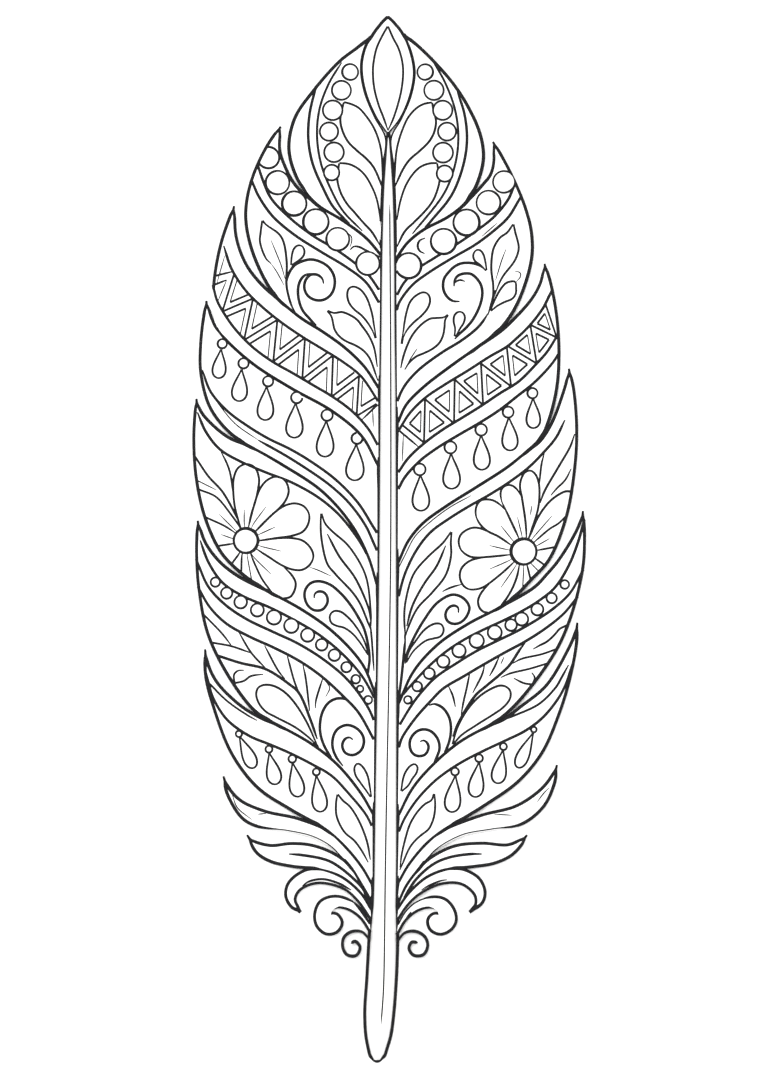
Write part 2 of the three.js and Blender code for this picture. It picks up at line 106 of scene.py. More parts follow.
# Outer edges that aren't inked in full: a hair line out to the first distance from the quill and full at
# the second; bare from one place along the feather to the other
HAIR_EDGES = {"plume_left_7": (33, 40), "plume_right_6": (33, 40)}
BARE_EDGES = {"lock_left_2": (60, 74)}
LEFT_LOCKS = {
    "lock_left_1": (
        [(-28.1, 105.7), (-31.5, 111.8), (-33, 117)],
        [(-38.1, 79.2), (-41.3, 87.2), (-42.8, 94.9), (-42.5, 101.1), (-40.6, 108.4), (-36.9, 116.5)],
        (-32.5, 123.4),
    ),
    "lock_left_2": (
        [(-38.5, 76.1), (-43.1, 82.2), (-46, 90.3)], [(-52.6, 68.5), (-52.3, 77.2), (-50.4, 87.6)],
        (-46.5, 99.5),
    ),
    "lock_left_3": (
        [(-53.4, 66)], [(-49.6, 33.4), (-53.8, 39.5), (-56.3, 49.2), (-56.3, 58.4)], (-54.8, 71.1),
    ),
    "lock_left_4": (
        [(-48.1, 29.9), (-53.8, 34.5), (-56.6, 38)],
        [(-45.4, -9.7), (-50.4, -4.3), (-55, 5.7), (-57.6, 17.2), (-58.4, 28.8)], (-57.8, 41.7),
    ),
    "lock_left_5": (
        [(-45.4, -11.6), (-51.2, -7), (-55.4, -1.2)],
        [(-40.8, -51.4), (-48.5, -40.8), (-54.2, -28.9), (-56.8, -15.8), (-57.5, -6)], (-57.4, 5.1),
    ),
    "lock_left_6": (
        [(-38.5, -54.2), (-44.6, -50.5), (-51.7, -43.5), (-54.4, -38)],
        [(-30, -81.2), (-39.2, -75.1), (-46.9, -65.1), (-52.5, -50.8), (-54.8, -42)], (-55.2, -33.5),
    ),
    "plume_left_7": (
        [(-27.3, -84.4), (-36.9, -82.3), (-44.2, -79.2), (-47.7, -75.7)],
        [(-17.3, -92.6), (-23.1, -89.5), (-30, -87.9), (-40, -86.4), (-44.2, -83.9), (-48.5, -76.8)],
        (-49.7, -71.6),
    ),
    "plume_left_8": (
        [(-16.5, -94.9), (-23.1, -92.4), (-29.2, -91.9), (-35.4, -92.5), (-40.8, -91)],
        [(-29.2, -98.5), (-35.4, -97.1), (-39.6, -94.5)], (-42.6, -89.2),
    ),
}
RIGHT_LOCKS = {
    "lock_right_1": (
        [(28.2, 105.9), (30.7, 109.2), (31.7, 113.8)],
        [(35.5, 65.3), (39.3, 72.2), (42.6, 83.4), (42.6, 91.1), (40.8, 98.4), (37, 107.6)], (31.2, 118.8),
    ),
    "lock_right_2": (
        [(33.6, 61.9), (37.4, 65.4), (43, 71.7), (45.7, 76.8)],
        [(47.6, 34.5), (50.1, 44.5), (50.8, 54.2), (50.3, 64.5), (48.7, 74.5)], (46.7, 82.2),
    ),
    "lock_right_3": (
        [(45.4, 28.9), (48.9, 34.2), (51.6, 41), (53.5, 47.4)],
        [(42.3, -12.9), (47.8, -6.8), (53, 6.1), (55.5, 20.7), (56.1, 32.2), (55.3, 43.8)], (54, 50.7),
    ),
    "lock_right_4": (
        [(43.6, -15), (47.5, -11), (50.8, -7.1), (55.3, 0), (57.4, 4.5)],
        [(36.6, -51.4), (44.3, -42.4), (50.8, -32.4), (55.1, -21.6), (58, -9), (58.5, 0)], (58.2, 8),
    ),
    "lock_right_5": (
        [(34.5, -54.6), (39.3, -51), (47.4, -44.3), (53.9, -33.5), (55.8, -29)],
        [(28.9, -80.1), (38.5, -73.3), (45.7, -64.7), (50.5, -53.9), (53.7, -43.9), (56, -32.8)],
        (56.5, -25.5),
    ),
    "plume_right_6": (
        [(27.4, -83.5), (38.2, -80.6), (45.5, -75.7), (48.7, -71.8)],
        [(14.1, -93.4), (22, -89.1), (30.8, -87.4), (39.7, -85.9), (46.2, -80.8), (49.5, -73.9)],
        (50.4, -68.2),
    ),
    "plume_right_7": (
        [(12.8, -95.9), (19.7, -92.6), (27.8, -91.8), (35.5, -92.3), (39.7, -90.5)],
        [(26.2, -98.5), (31.6, -97.6), (36.6, -95.3), (40.1, -91.6)], (41.4, -89.2),
    ),
}
CROWN_INNER = {
    -1: [(-4.2, 126.5), (-7.3, 134.2), (-8.3, 141.5), (-7.2, 147)],
    1: [(3.5, 125.8), (6.4, 132.6), (7.6, 139.5), (6.6, 145.5)],
}
CROWN_OUTER = {
    -1: [(-29.3, 112.5), (-30, 118.4), (-28.1, 126.1), (-23.1, 133.4), (-15, 142.6), (-9.6, 146.8)],
    1: [(26.6, 106.8), (28.3, 113.8), (27.4, 120.7), (23.9, 128.8), (18.9, 136.5), (10.1, 146.1)],
}
CROWN_PEAK = {-1: (-5.4, 150.3), 1: (4.3, 151.1)}
PETAL_SHOULDER = {-1: (-2.4, 154.1), 1: (1.7, 154.2)}
PETAL_FOOT = {-1: (-0.7, 121.2), 1: (-0.05, 121.2)}
APEX = (-0.4, 156.6)
CROWN_BESIDE_QUILL = (96, 104, 112, 120)
CROWN_FOOT = 2            # from the seam's foot up to where a crown half's inner edge begins
SEAMS = {-1: LEFT_SEAMS, 1: RIGHT_SEAMS}
LOCKS = {-1: LEFT_LOCKS, 1: RIGHT_LOCKS}
# Curls: back seam, round back, belly (height at the quill, points), tip
CURLS = {
    "curl_left_a": (LEFT_SEAMS[8], [(-26.9, -100.8), (-30.2, -103.9), (-30.9, -107.4), (-29.4, -110.5)],
                    (-114.6, [(-9.2, -109.3), (-13.5, -105.5), (-21.2, -103.7), (-26.5, -105.7),
                              (-28, -108.5)]), (-26.5, -112.4)),
    "curl_left_b": ((-115.6, [(-8.5, -110.8), (-12.7, -108.2)]),
                    [(-17.3, -107.8), (-20.8, -109.5), (-22.2, -113.2), (-21.5, -116.6), (-18.8, -118.8),
                     (-15.8, -118.3), (-14.2, -115.8), (-15.4, -113.3), (-17.7, -113)],
                    (-118.4, [(-8.7, -114.1), (-12.3, -111.6), (-15.8, -111), (-18, -112.3)]),
                    (-18.7, -114.3)),
    "curl_right_a": (RIGHT_SEAMS[7], [(23.5, -100.1), (27.2, -102.6), (28.7, -106.2), (28, -109.3)],
                     (-114.8, [(5.3, -110.7), (8.9, -107.2), (15.5, -104), (21.6, -104), (25.5, -107.2),
                               (25.8, -109.9)]), (24.1, -112.4)),
    "curl_right_b": ((-116, [(4.9, -112), (8.2, -109.1), (12.8, -107.7)]),
                     [(17, -108.7), (19.5, -111.8), (20, -115.1), (18.5, -117.6), (15.5, -118.9),
                      (12.6, -117.7), (11.7, -115.1), (12.8, -113.3), (14.7, -113)],
                     (-119.2, [(4.9, -115.1), (8.2, -112.2), (12, -111), (15.1, -111.8)]), (16.2, -114.4)),
}
STRANDS = {
    "curl_left_c": (
        -120.6,
        [(-8.1, -118.3), (-11.2, -118.2), (-13.5, -119.9), (-13.9, -122.8), (-12.5, -125.2), (-9.8, -125.3),
         (-8.7, -122.8), (-10.2, -121.1), (-11.5, -121.8)],
    ),
    "curl_right_c": (
        -121.3,
        [(4.7, -118.6), (7.8, -118.1), (10.7, -119.7), (11.6, -122.4), (10.3, -125.1), (7.4, -125.3),
         (6, -123.3), (6.8, -121.4), (8.7, -121.5)],
    ),
}
STRAND_WIDTH = 0.95
STRAND_TAPER = (0.6, 16)  # share of the width at the quill, and the length it grows over, in widths left
STRAND_TIP = 0.6          # length of a strand's blunt tip
CURL_BELLY_INK = 0.75     # how bold the line along a curl's belly is
HOOK_LEAD = 0.6           # power by which the eyed curl's belly runs ahead of its longer back

# Ornament of each lock. main, fine and hair are open lines from thick to thin; shut are closed outlines of
# paisleys and bulbs; leaves are pairs of edges from the tip; beads are circles (x, y, radius);
# drops hang from rings: ring, top, bottom, half width; eye is the daisy's middle; zigzag is the upper and
# the lower row of its corners.
ORNAMENT = {
    "crown_left": {
        "main": [
            [(-22.1, 134.5), (-23.8, 127.2), (-24.2, 119.5), (-22.9, 112.2), (-19.6, 104.5), (-16.9, 99.5),
             (-13.8, 96.1), (-10.4, 92.6)],
        ],
        "fine": [
            [(-14.2, 142.6), (-18.1, 136.1), (-20.8, 128.8), (-21.6, 120.7), (-20.4, 112.2), (-17.3, 104.2),
             (-13.8, 98), (-8, 92)],
        ],
        "leaves": [
            (
                [(-13.5, 130.6), (-11.5, 130.1), (-9.2, 129), (-6.9, 126.5), (-4.6, 123), (-3.1, 119.2),
                 (-2.3, 115.3), (-1.9, 106.8)],
                [(-13.5, 130.6), (-14, 128.8), (-14.6, 125.3), (-14, 122.2), (-12.3, 118.8), (-9.6, 116.1),
                 (-6.9, 113.8), (-4.6, 111.1), (-1.7, 104.5)],
            ),
            (
                [(-14.9, 112.3), (-12.3, 112.1), (-9.6, 110.9), (-7.3, 108.8), (-5.4, 105.7), (-3.8, 101.8),
                 (-2.4, 94.5)],
                [(-14.9, 112.3), (-15.2, 110.3), (-15.5, 107.6), (-14.6, 103.8), (-12.7, 100.3),
                 (-10.4, 97.6), (-7.7, 94.5), (-5, 91.5), (-2.7, 87.6)],
            ),
        ],
        "beads": [(-11.7, 139.7, 2.35), (-14.3, 134.2, 2.8), (-16.9, 128.2, 2.9), (-18, 121.8, 2.7),
                  (-16.5, 115.6, 2.9), (-17.2, 109.5, 2.3)],
    },
    "crown_right": {
        "main": [
            [(20.5, 133.8), (22.6, 127.2), (23.4, 119.5), (22.4, 112.2), (19.7, 104.5), (17.4, 100.7),
             (13.5, 96.1), (10.5, 92.6)],
        ],
        "fine": [
            [(13.5, 142.6), (17, 136.1), (19.7, 128.8), (20.8, 120.7), (19.9, 112.2), (16.6, 103.4),
             (7, 91.1)],
        ],
        "leaves": [
            (
                [(12.9, 130.5), (10.5, 130.1), (8.2, 128.8), (5.8, 126.1), (4.3, 123), (3, 119.2),
                 (2.2, 115.3), (1.7, 106.8)],
                [(12.9, 130.5), (13.3, 128.4), (14.1, 124.9), (13.5, 121.5), (12, 118.8), (9.3, 116.1),
                 (6.2, 113.4), (4.3, 110.7), (1.6, 104.9)],
            ),
            (
                [(14.4, 112.3), (12, 112.2), (9.3, 111.1), (7, 108.8), (5.1, 105.7), (3.5, 101.1),
                 (2.4, 95.3)],
                [(14.4, 112.3), (14.7, 110.3), (15.2, 107.6), (13.9, 102.6), (12.4, 99.9), (10.1, 97.2),
                 (7.4, 94.5), (4.7, 91.8), (2.4, 87.2)],
            ),
        ],
        "beads": [(10.9, 139.7, 2.3), (13.5, 134.2, 2.85), (16.1, 128.2, 2.85), (17.4, 121.8, 2.65),
                  (16.2, 115.5, 2.95), (16.7, 109.2, 2.4)],
    },
    "tip_petal": {
        "leaves": [
            (
                [(-0.35, 153.4), (-1.9, 150.7), (-3.7, 146.8), (-4.6, 142.6), (-4.8, 139.5), (-4.4, 134.9),
                 (-3.1, 129.9), (-1.5, 125.7), (-0.3, 122.2)],
                [(-0.35, 153.4), (1.2, 149.9), (2.8, 146.8), (3.9, 143), (4.2, 139.5), (3.7, 134.5),
                 (2.6, 129.9), (1.2, 125.7), (-0.3, 122.2)],
            ),
        ],
    },
    "lock_left_1": {
        "main": [
            [(-39, 110.7), (-37.7, 106.8), (-35.4, 101.8), (-30, 96.1), (-23.1, 90.7), (-15.8, 86.3),
             (-9.6, 81.8), (-6.2, 78.8), (-2.7, 73.8)],
            [(-40.6, 105.8), (-39.2, 102.6), (-35, 96.5), (-28.5, 90.9), (-20.4, 85.7), (-13.1, 81.3),
             (-6.9, 76.5), (-2.7, 69.9)],
            [(-30.8, 76.1), (-30.2, 78.8), (-28.5, 81.5), (-26.2, 82.8), (-23.5, 83.4), (-20.8, 82.8),
             (-18.1, 81.1), (-16.5, 78.4), (-16.3, 75.7), (-17.3, 73), (-19.6, 71.3), (-22.3, 71.3),
             (-24.4, 72.6), (-25.4, 74.9), (-25, 77.2), (-23.5, 78.8), (-21.5, 78.8), (-20, 77.6),
             (-19.6, 76.1)],
            [(-21.2, 62.6), (-23.5, 65.3), (-25.8, 68), (-26.9, 70.7), (-27.3, 73.4), (-27.1, 75.7),
             (-26.3, 77.6), (-25, 78.8), (-23.1, 79.2)],
        ],
        "hair": [
            [(-35.4, 89.2), (-33.8, 85.3), (-32.3, 81.5), (-31.2, 77.6)],
            [(-35.4, 82.2), (-33.8, 79.9), (-31.5, 75.7)],
            [(-12.4, 91.5), (-11.3, 90.3), (-11.2, 88.8), (-11.7, 87.2)],
        ],
        "fine": [[(-11.7, 86.3), (-10.6, 87.3), (-9, 87.2), (-7.2, 86.3), (-5.6, 85.5)]],
        "leaves": [
            (
                [(-38, 95.1), (-36.9, 93.8), (-33.1, 91.1), (-31.7, 88.8), (-30.7, 82.6), (-30.7, 75.3),
                 (-29.2, 69.5), (-28.1, 67.6)],
                [(-38, 95.1), (-38.5, 91.5), (-38.7, 88.8), (-36.9, 83.8), (-35.4, 82.2)],
            ),
            (
                [(-18.5, 68), (-16.5, 67.3), (-14.2, 67.6), (-11.9, 66.8), (-9.6, 65.3), (-8.1, 63.4),
                 (-6.2, 60.7), (-4.6, 57.2), (-3.5, 51.1)],
                [(-18.5, 68), (-17.3, 66.5), (-16.2, 62.2), (-14.6, 60.1), (-12.7, 58.8), (-10, 57.6),
                 (-7.7, 56.1), (-5.8, 53.8), (-3.3, 47)],
            ),
        ],
        "shut": [
            [(-4, 59.7), (-4.6, 63.8), (-5, 66.5), (-5.8, 69.5), (-6.9, 72.2), (-8.8, 74.5), (-10.8, 75.2),
             (-12.1, 74.5), (-12.5, 72.6), (-11.9, 70.3), (-10.4, 68.4), (-8.1, 66.5), (-6.2, 64.2),
             (-4.6, 61.5)],
            [(-29.3, 81.7), (-29.1, 84.6), (-28.5, 86.6), (-27.3, 87.6), (-26, 87.2), (-25.4, 85.9),
             (-25.7, 84.5), (-27, 83.2), (-28.6, 82.2)],
        ],
        "beads": [(-36.2, 114, 3.2), (-33.5, 106.5, 3.5), (-28.5, 100.2, 3.6), (-22, 94.7, 3.75),
                  (-15.4, 89.5, 3.4), (-6.4, 82.2, 3.45)],
    },
    "lock_right_1": {
        "main": [
            [(37.3, 105), (35.8, 101.5), (31.6, 96.3), (26.2, 92), (19.7, 87.6), (13.2, 83.6), (8.2, 80.3),
             (4.3, 76.1), (2.2, 72.2)],
            [(39.1, 101.5), (35.8, 96.1), (30.8, 91.5), (25.5, 87.6), (20.1, 84.5), (12, 79.5), (7, 75.7),
             (3.2, 70.7), (2.4, 68.4)],
            [(29.2, 80.1), (27.4, 81.5), (25.5, 82.2), (23.5, 82.4), (21.6, 82.2), (19.7, 81.3), (18, 79.7),
             (16.6, 77.8), (16.2, 75.7), (16.5, 73.8), (17.8, 71.8), (19.3, 70.9), (21.2, 70.8)],
            [(19.7, 59.5), (21.2, 61.1), (23.2, 63), (25.1, 65.3), (26.6, 68), (27.6, 70.7), (28, 73.4),
             (27.6, 75.7), (26.4, 77.6), (24.7, 79), (22.8, 79.2), (20.8, 78.6), (19.7, 77.2), (19.5, 75.3)],
            [(29.7, 67.2), (28.2, 64.9), (26.2, 62.6), (21.6, 59), (16.2, 55.7), (10.1, 51.3), (7.4, 48.8),
             (5.1, 46.1), (3.5, 43.4), (2.6, 41.1)],
        ],
        "hair": [
            [(32.4, 94.3), (27.8, 90.3)], [(35.1, 86.5), (33.9, 83.4), (32.8, 79.9), (32, 77.2)],
            [(38.2, 76.8), (39.3, 78), (39.5, 79.2), (38.7, 79.8), (37.8, 79.8)],
            [(8.5, 56.7), (7, 54.5), (5.8, 52.6)],
        ],
        "fine": [
            [(19.6, 76.2), (20.5, 77), (21.6, 77.2), (22.8, 76.8)],
            [(10.9, 89.9), (9.2, 89.1), (8.6, 87.5), (9.2, 86), (10.7, 85.2)],
        ],
        "leaves": [
            (
                [(37.3, 94), (35.5, 91.5), (33.5, 90.1), (32.2, 88.4), (31.2, 86.1), (30.7, 80.7),
                 (31.3, 75.3), (31.2, 72.2), (29.7, 66.8)],
                [(37.3, 94), (37.8, 91.8), (38.9, 87.2), (38.5, 84.9), (37.4, 82.6), (33.9, 78), (31.6, 73),
                 (30.8, 70.3)],
            ),
            (
                [(17.7, 66.8), (16.6, 66), (14.3, 65.8), (12.4, 65.6), (10.5, 64.5), (8.5, 62.6),
                 (6.8, 60.3), (5.5, 57.6), (4.3, 54.2), (3.5, 50.7)],
                [(17.7, 66.8), (16.8, 65.3), (16.6, 63), (16.2, 60.7), (15.1, 58.4), (13.2, 56.7),
                 (10.5, 55.3), (8.2, 54.3), (6.2, 52.6), (4.7, 50.3)],
            ),
        ],
        "shut": [
            [(30.5, 68), (32.4, 69.5), (34.7, 70.7), (37, 71.7), (38, 73.2), (38.1, 74.9), (37.8, 76.7),
             (36.6, 76.8), (35.1, 76.3), (33.5, 74.5), (32.2, 72.2), (31.2, 69.9)],
            [(29.2, 80.1), (28.8, 83), (28.3, 84.9), (27.4, 86.1), (26.4, 86.2), (25.5, 85.3), (25.3, 84.2),
             (25.8, 83), (27.4, 81.8)],
            [(19.7, 60.3), (19.9, 62.6), (19.4, 64.9), (19.7, 66.7), (20.8, 67.6), (22, 67.4), (22.7, 66.3),
             (22.4, 64.5), (21.2, 62.6), (20.1, 60.7)],
            [(3.8, 58), (4.3, 61.1), (4.7, 64.5), (5.3, 67.6), (6.4, 70.7), (8.2, 72.6), (10.3, 73.5),
             (11.8, 72.8), (12.3, 71.1), (11.6, 68.8), (9.7, 66.5), (7.4, 64.5), (5.3, 62.2), (4.1, 59.9)],
        ],
        "beads": [(34.5, 106.7, 3.2), (29.9, 100.5, 3.55), (23.3, 94.5, 3.85), (16.4, 88.8, 3.75),
                  (5.9, 81.5, 3.75)],
    },
    "lock_left_2": {
        "main": [
            [(-49.6, 87.6), (-47.3, 80.7), (-43.1, 74.2), (-38.1, 69.2), (-32.3, 64.5), (-26.2, 60.3),
             (-20, 56.5), (-13.8, 52.6), (-8.5, 48.4), (-4.2, 42.2), (-3.1, 40.3)],
            [(-52.5, 74.5), (-51.7, 71.5), (-50.4, 68.8), (-46.5, 63), (-41.2, 57.4), (-35, 52.8),
             (-29.2, 49.5), (-23.1, 45.9), (-16.9, 42.2), (-11.2, 38), (-6.2, 32.6), (-3.1, 27.2)],
        ],
        "zigzag": (
            [(-46.4, 79.3), (-40.8, 71.7), (-33.5, 65.3), (-25.2, 59.9), (-16.8, 54.6), (-9, 48.4),
             (-3.2, 40.4)],
            [(-50, 67.8), (-43.5, 59.2), (-34.7, 52.8), (-26, 47.5), (-17.2, 42.2), (-9.7, 36.4)],
        ),
        "fine": [
            [(-51.4, 78.7), (-46.9, 79.8)], [(-51.7, 76.1), (-48.7, 77.3)], [(-8, 35.4), (-4.9, 38.4)],
        ],
        "hair": [
            [(-48.7, 77.3), (-51.3, 71)], [(-49.3, 84.5), (-51.6, 76.5)], [(-4.9, 38.4), (-4.7, 33.2)],
        ],
    },
    "lock_right_2": {
        "main": [
            [(48.3, 73), (46.2, 68.8), (42.4, 63.8), (37.8, 59.3), (35.3, 57.2), (30.1, 54.2), (23.9, 50.2),
             (16.2, 45.5), (10.8, 41.8), (6.2, 37.2), (2.8, 31.8)],
            [(50.5, 60.7), (47.4, 55.7), (44.3, 52.2), (38.9, 46.8), (33.2, 43.2), (27.4, 39.3),
             (21.6, 35.7), (16.2, 32.4), (10.5, 28.2), (5.8, 23.8), (2.8, 19.5)],
            [(50.7, 54.9), (48.9, 52.2), (43.9, 46.8), (38.5, 42.4), (32.8, 38), (27, 34.3), (20.8, 30.7),
             (14.7, 27), (9.3, 23), (4.7, 18), (2.8, 14.5)],
        ],
        "zigzag": (
            [(47, 69.9), (42.4, 63.8), (35.3, 57.6), (27.6, 52.2), (19.7, 47.4), (10.8, 41.5), (3.9, 33.8)],
            [(50.3, 60), (44.3, 52.2), (36.6, 45.3), (28.2, 39.7), (19.5, 34.2), (10.5, 28.4)],
        ),
        "fine": [[(4.3, 31), (8.8, 27.2)]],
        "hair": [[(4.3, 31), (4, 22.8)]],
        "drops": [
            ((43, 43.3, 1.5), (43.2, 41.7), (43.3, 32.9), 2.05),
            ((35.7, 37.6, 1.6), (35.9, 36), (36.4, 26.2), 2.3),
            ((27.6, 32.3, 1.7), (27.6, 30.6), (27.9, 20.4), 2.4),
            ((18.4, 27, 1.75), (18.6, 25.1), (18.8, 14.7), 2.5),
            ((9.2, 20.4, 1.7), (9.4, 18.7), (9.6, 8.1), 2.5),
        ],
    },
    "lock_left_3": {
        "main": [
            [(-56, 50.3), (-53.5, 43.8), (-48.5, 38), (-42.3, 33.4), (-36.2, 29.7), (-29.6, 26.5),
             (-23.1, 22.6), (-15.8, 17.2), (-9.2, 10.3), (-4.6, 3)],
            [(-39.2, 29.2), (-31.5, 24.9), (-24.2, 20.3), (-17.7, 15.7), (-11.9, 10.3), (-6.9, 3.4),
             (-4.6, -1.6)],
        ],
        "hair": [[(-52.3, 41.5), (-46.2, 34.2), (-39.2, 29.2)]],
        "drops": [
            ((-50.1, 58.1, 1.35), (-50.4, 56.4), (-51.2, 47.9), 1.95),
            ((-43.7, 52.2, 1.5), (-44.2, 50.4), (-45.1, 41), 2.25),
            ((-36.3, 46.8, 1.5), (-36.7, 45.2), (-37.2, 35.3), 2.35),
            ((-27.7, 41.9, 1.65), (-28, 40.2), (-28.5, 30), 2.45),
            ((-18.6, 36.6, 1.65), (-18.8, 34.9), (-19.3, 24.3), 2.5),
            ((-9.6, 29.7, 1.65), (-9.8, 27.9), (-10.4, 17.2), 2.6),
        ],
    },
    "lock_left_4": {
        "main": [
            [(-57.5, 37.6), (-55, 31.8), (-50.8, 26.5), (-44.6, 22.8), (-36.9, 19.5), (-29.2, 16.5),
             (-21.5, 12.2), (-15.4, 7.2), (-10.4, 1.1), (-7.3, -3.9), (-3.8, -12)],
            [(-6.2, -40), (-5.8, -35.8), (-7.3, -27.8), (-9.2, -23.9), (-11.9, -19.7), (-14.6, -16.6),
             (-17.7, -14.1), (-21.2, -13.1), (-23.5, -13.7), (-25, -15.5), (-25.3, -17.8), (-24.2, -20.5),
             (-22.3, -21.8), (-20, -21.6), (-18.5, -19.7), (-18.5, -17.8), (-19.6, -16.4), (-21.2, -16.2),
             (-22.3, -17), (-22.4, -18.2)],
        ],
        "fine": [
            [(-5.7, -25.2), (-5.3, -29), (-4.9, -34), (-4.5, -40)],
            [(-18.5, 1.1), (-15, -5.5), (-10, -12.4), (-6.2, -21.2), (-5.4, -25.8)],
            [(-44.6, 3.4), (-46.2, 9.2), (-46.7, 14.5), (-46.5, 18), (-45.2, 20.9), (-42.7, 22),
             (-40.2, 20.9), (-39, 17.6), (-39.2, 14.9), (-40, 11.1), (-41.2, 7.2), (-42.1, 3.2)],
            [(-42.1, 3.2), (-39.8, 11.8), (-38.5, 14.9), (-36.5, 17.2), (-33.8, 18.2), (-31.2, 17),
             (-30.1, 14.2), (-30.8, 11.5), (-32.5, 9.2), (-35.4, 6.5), (-39.8, 2.2)],
            [(-39.8, 2), (-36.2, 5.7), (-33.1, 8.4), (-30.8, 9.7), (-28.1, 10.2), (-25.4, 9.2), (-24, 6.8),
             (-24.2, 4.2), (-25.8, 1.8), (-29.2, 0.5), (-34, -0.2), (-39, -1)],
            [(-39, -0.9), (-33.1, -0.2), (-29.2, -0.2), (-25.8, -1), (-23.5, -3.2), (-22.7, -5.5),
             (-23.8, -8.2), (-26.2, -9.7), (-29.2, -9.5), (-32.3, -8.2), (-36.2, -5.7), (-39.6, -3.5)],
            [(-41.5, -4.9), (-40, -8.5), (-38.1, -12.4), (-36.2, -15.1)],
            [(-31.5, -8.9), (-29.2, -11.2), (-28, -13.5), (-28.3, -15.8), (-29.6, -17.8), (-31.5, -18.3)],
            [(-50.4, 25.7), (-48.8, 22.6), (-47.7, 19.5), (-46.5, 11.8)],
            [(-58.1, 24.2), (-54.2, 18.4), (-50, 13.8), (-46.2, 7.2), (-44.8, 4.2)],
            [(-56.7, 14.3), (-51.9, 12.2), (-47.3, 6.8), (-45.2, 3.8)],
            [(-54.6, 5.9), (-49.2, 3.4), (-46.3, 1.5)], [(-50.4, -2.4), (-46.5, -1.8)],
            [(-46.7, -7.2), (-45, -4.9)], [(-44.3, -10.1), (-44.1, -5.3)],
        ],
        "hair": [
            [(-43.4, 8.4), (-43.4, 4.2)], [(-36.9, 9.2), (-40.8, 3.8)], [(-34, 3.2), (-38.8, 1)],
            [(-32.3, -4.1), (-38.5, -2.6)], [(-35.4, -11), (-41, -5.3)], [(-41.5, -11.2), (-42.5, -5.5)],
            [(-50.4, 0.9), (-46.9, -0.3)], [(-51, 7), (-45.8, 1.9)], [(-56.9, 16.8), (-51.7, 14.2)],
            [(-23.8, -8.9), (-21.5, -9.7), (-17.3, -11.6)],
        ],
        "leaves": [
            (
                [(-20.3, 7.2), (-19.2, 4.2), (-17.1, 1.9), (-12.3, -2.4), (-8.1, -8.9), (-6.5, -13.5),
                 (-5.5, -22.8), (-5.4, -26.6)],
                [(-20.3, 7.2), (-20.4, 5.7), (-20.3, 0.3), (-18.5, -7.8), (-16.2, -10.8), (-10.8, -16.6),
                 (-8.5, -20.1), (-5.4, -27.8)],
            ),
        ],
        "shut": [
            [(-6.2, -35.1), (-7.7, -30.5), (-10, -26.6), (-12.3, -23.9), (-14.6, -22.2), (-16.5, -22.1),
             (-17.7, -23.5), (-17.3, -25.5), (-15.8, -26.4), (-13.5, -27), (-11.2, -28.5), (-8.8, -31.2)],
        ],
        "eye": (-42.8, -0.9, 3.6),
    },
    "lock_right_3": {
        "main": [
            [(52.8, 35.3), (50.1, 29.9), (46.2, 25.3), (42, 21.1), (36.2, 16.7), (30.1, 12.8), (23.9, 9.3),
             (17.8, 5.5), (12.4, 1.5), (8.2, -3.9), (4.7, -11.2), (2.8, -18.2)],
            [(4.9, -37.8), (5.3, -35.1), (7.4, -30.1), (10.5, -24.7), (14.3, -19.7), (18.2, -17.3),
             (20.1, -17.2), (22, -18), (23.5, -19.5), (24.1, -21.2), (23.5, -23.2), (22.2, -24.9),
             (20.5, -25.8), (18.9, -25.8), (17.6, -25.1), (16.9, -23.5), (17.2, -22), (18.2, -20.8),
             (19.5, -20.4), (20.7, -21), (20.8, -22.6)],
            [(4.9, -30.1), (4.5, -34.3), (3.7, -42), (3.3, -45.1)],
        ],
        "fine": [
            [(4.8, -28.4), (4.8, -29.6), (4.75, -31)],
            [(17, -2.4), (14.3, -8.5), (10.5, -13.9), (7, -20.5), (5.3, -26.6)],
            [(16, -16.2), (17.8, -15.3), (19.7, -14.6), (21.6, -14.1)],
            [(41.2, 0.3), (41, 4.2), (39.9, 11.8), (39.3, 15.3), (39.7, 17.6), (40.8, 19.5), (42.4, 20),
             (43.7, 19.2), (44.7, 17.2), (45.1, 14.5), (44.7, 8.8), (42.8, 2.6), (42, 0.3)],
            [(38.7, 0.3), (36.2, 5.7), (33.9, 11.1), (33.5, 13.4), (34.1, 14.9), (35.5, 15.7), (37, 15.5),
             (38.3, 14.5), (39.5, 12.6)],
            [(34.7, 8.4), (33.2, 9.9), (31.2, 11.1), (29.3, 11.4), (27.6, 11.1), (26.4, 9.7), (26, 7.6),
             (26.6, 5.3), (27.8, 3.4), (29.7, 1.8), (32.8, 0.3), (36.8, -2.4)],
            [(31.6, 1.1), (29.3, 2), (27, 2.8), (25.1, 2.9), (23.2, 2.2), (21.6, 0.9), (20.9, -1),
             (21.4, -3.2), (22.6, -4.7), (24.3, -5.7), (26.6, -6), (29.7, -5.8), (36.6, -5.1)],
            [(29.3, -5.9), (27, -6.2), (24.7, -6.8), (22.8, -8), (21.6, -9.5), (21.2, -11.4), (21.6, -13.2),
             (22.6, -14.7), (24.3, -15.5), (26.6, -15.4), (28.5, -14.7), (33.2, -11.2), (37.4, -7.4)],
            [(30.1, -13.9), (28.5, -15.5), (27.4, -17), (26.7, -18.9), (27, -20.8), (28.2, -22.2),
             (30.1, -22.6)],
            [(39.1, -8.2), (38.5, -11.2), (37.4, -14.3), (35.8, -17.4), (33.9, -20.1)],
            [(42.6, -13.2), (41.4, -8.2)], [(46.6, -8.2), (43.5, -6)], [(50.1, -2.8), (44.1, -3.9)],
            [(52.8, 6.1), (50.8, 4.2), (48.2, 2.6), (43.5, -1.4)],
            [(54.7, 13.8), (52.8, 13.8), (48.5, 11.1), (44.7, 6.1), (42.2, 0.3)],
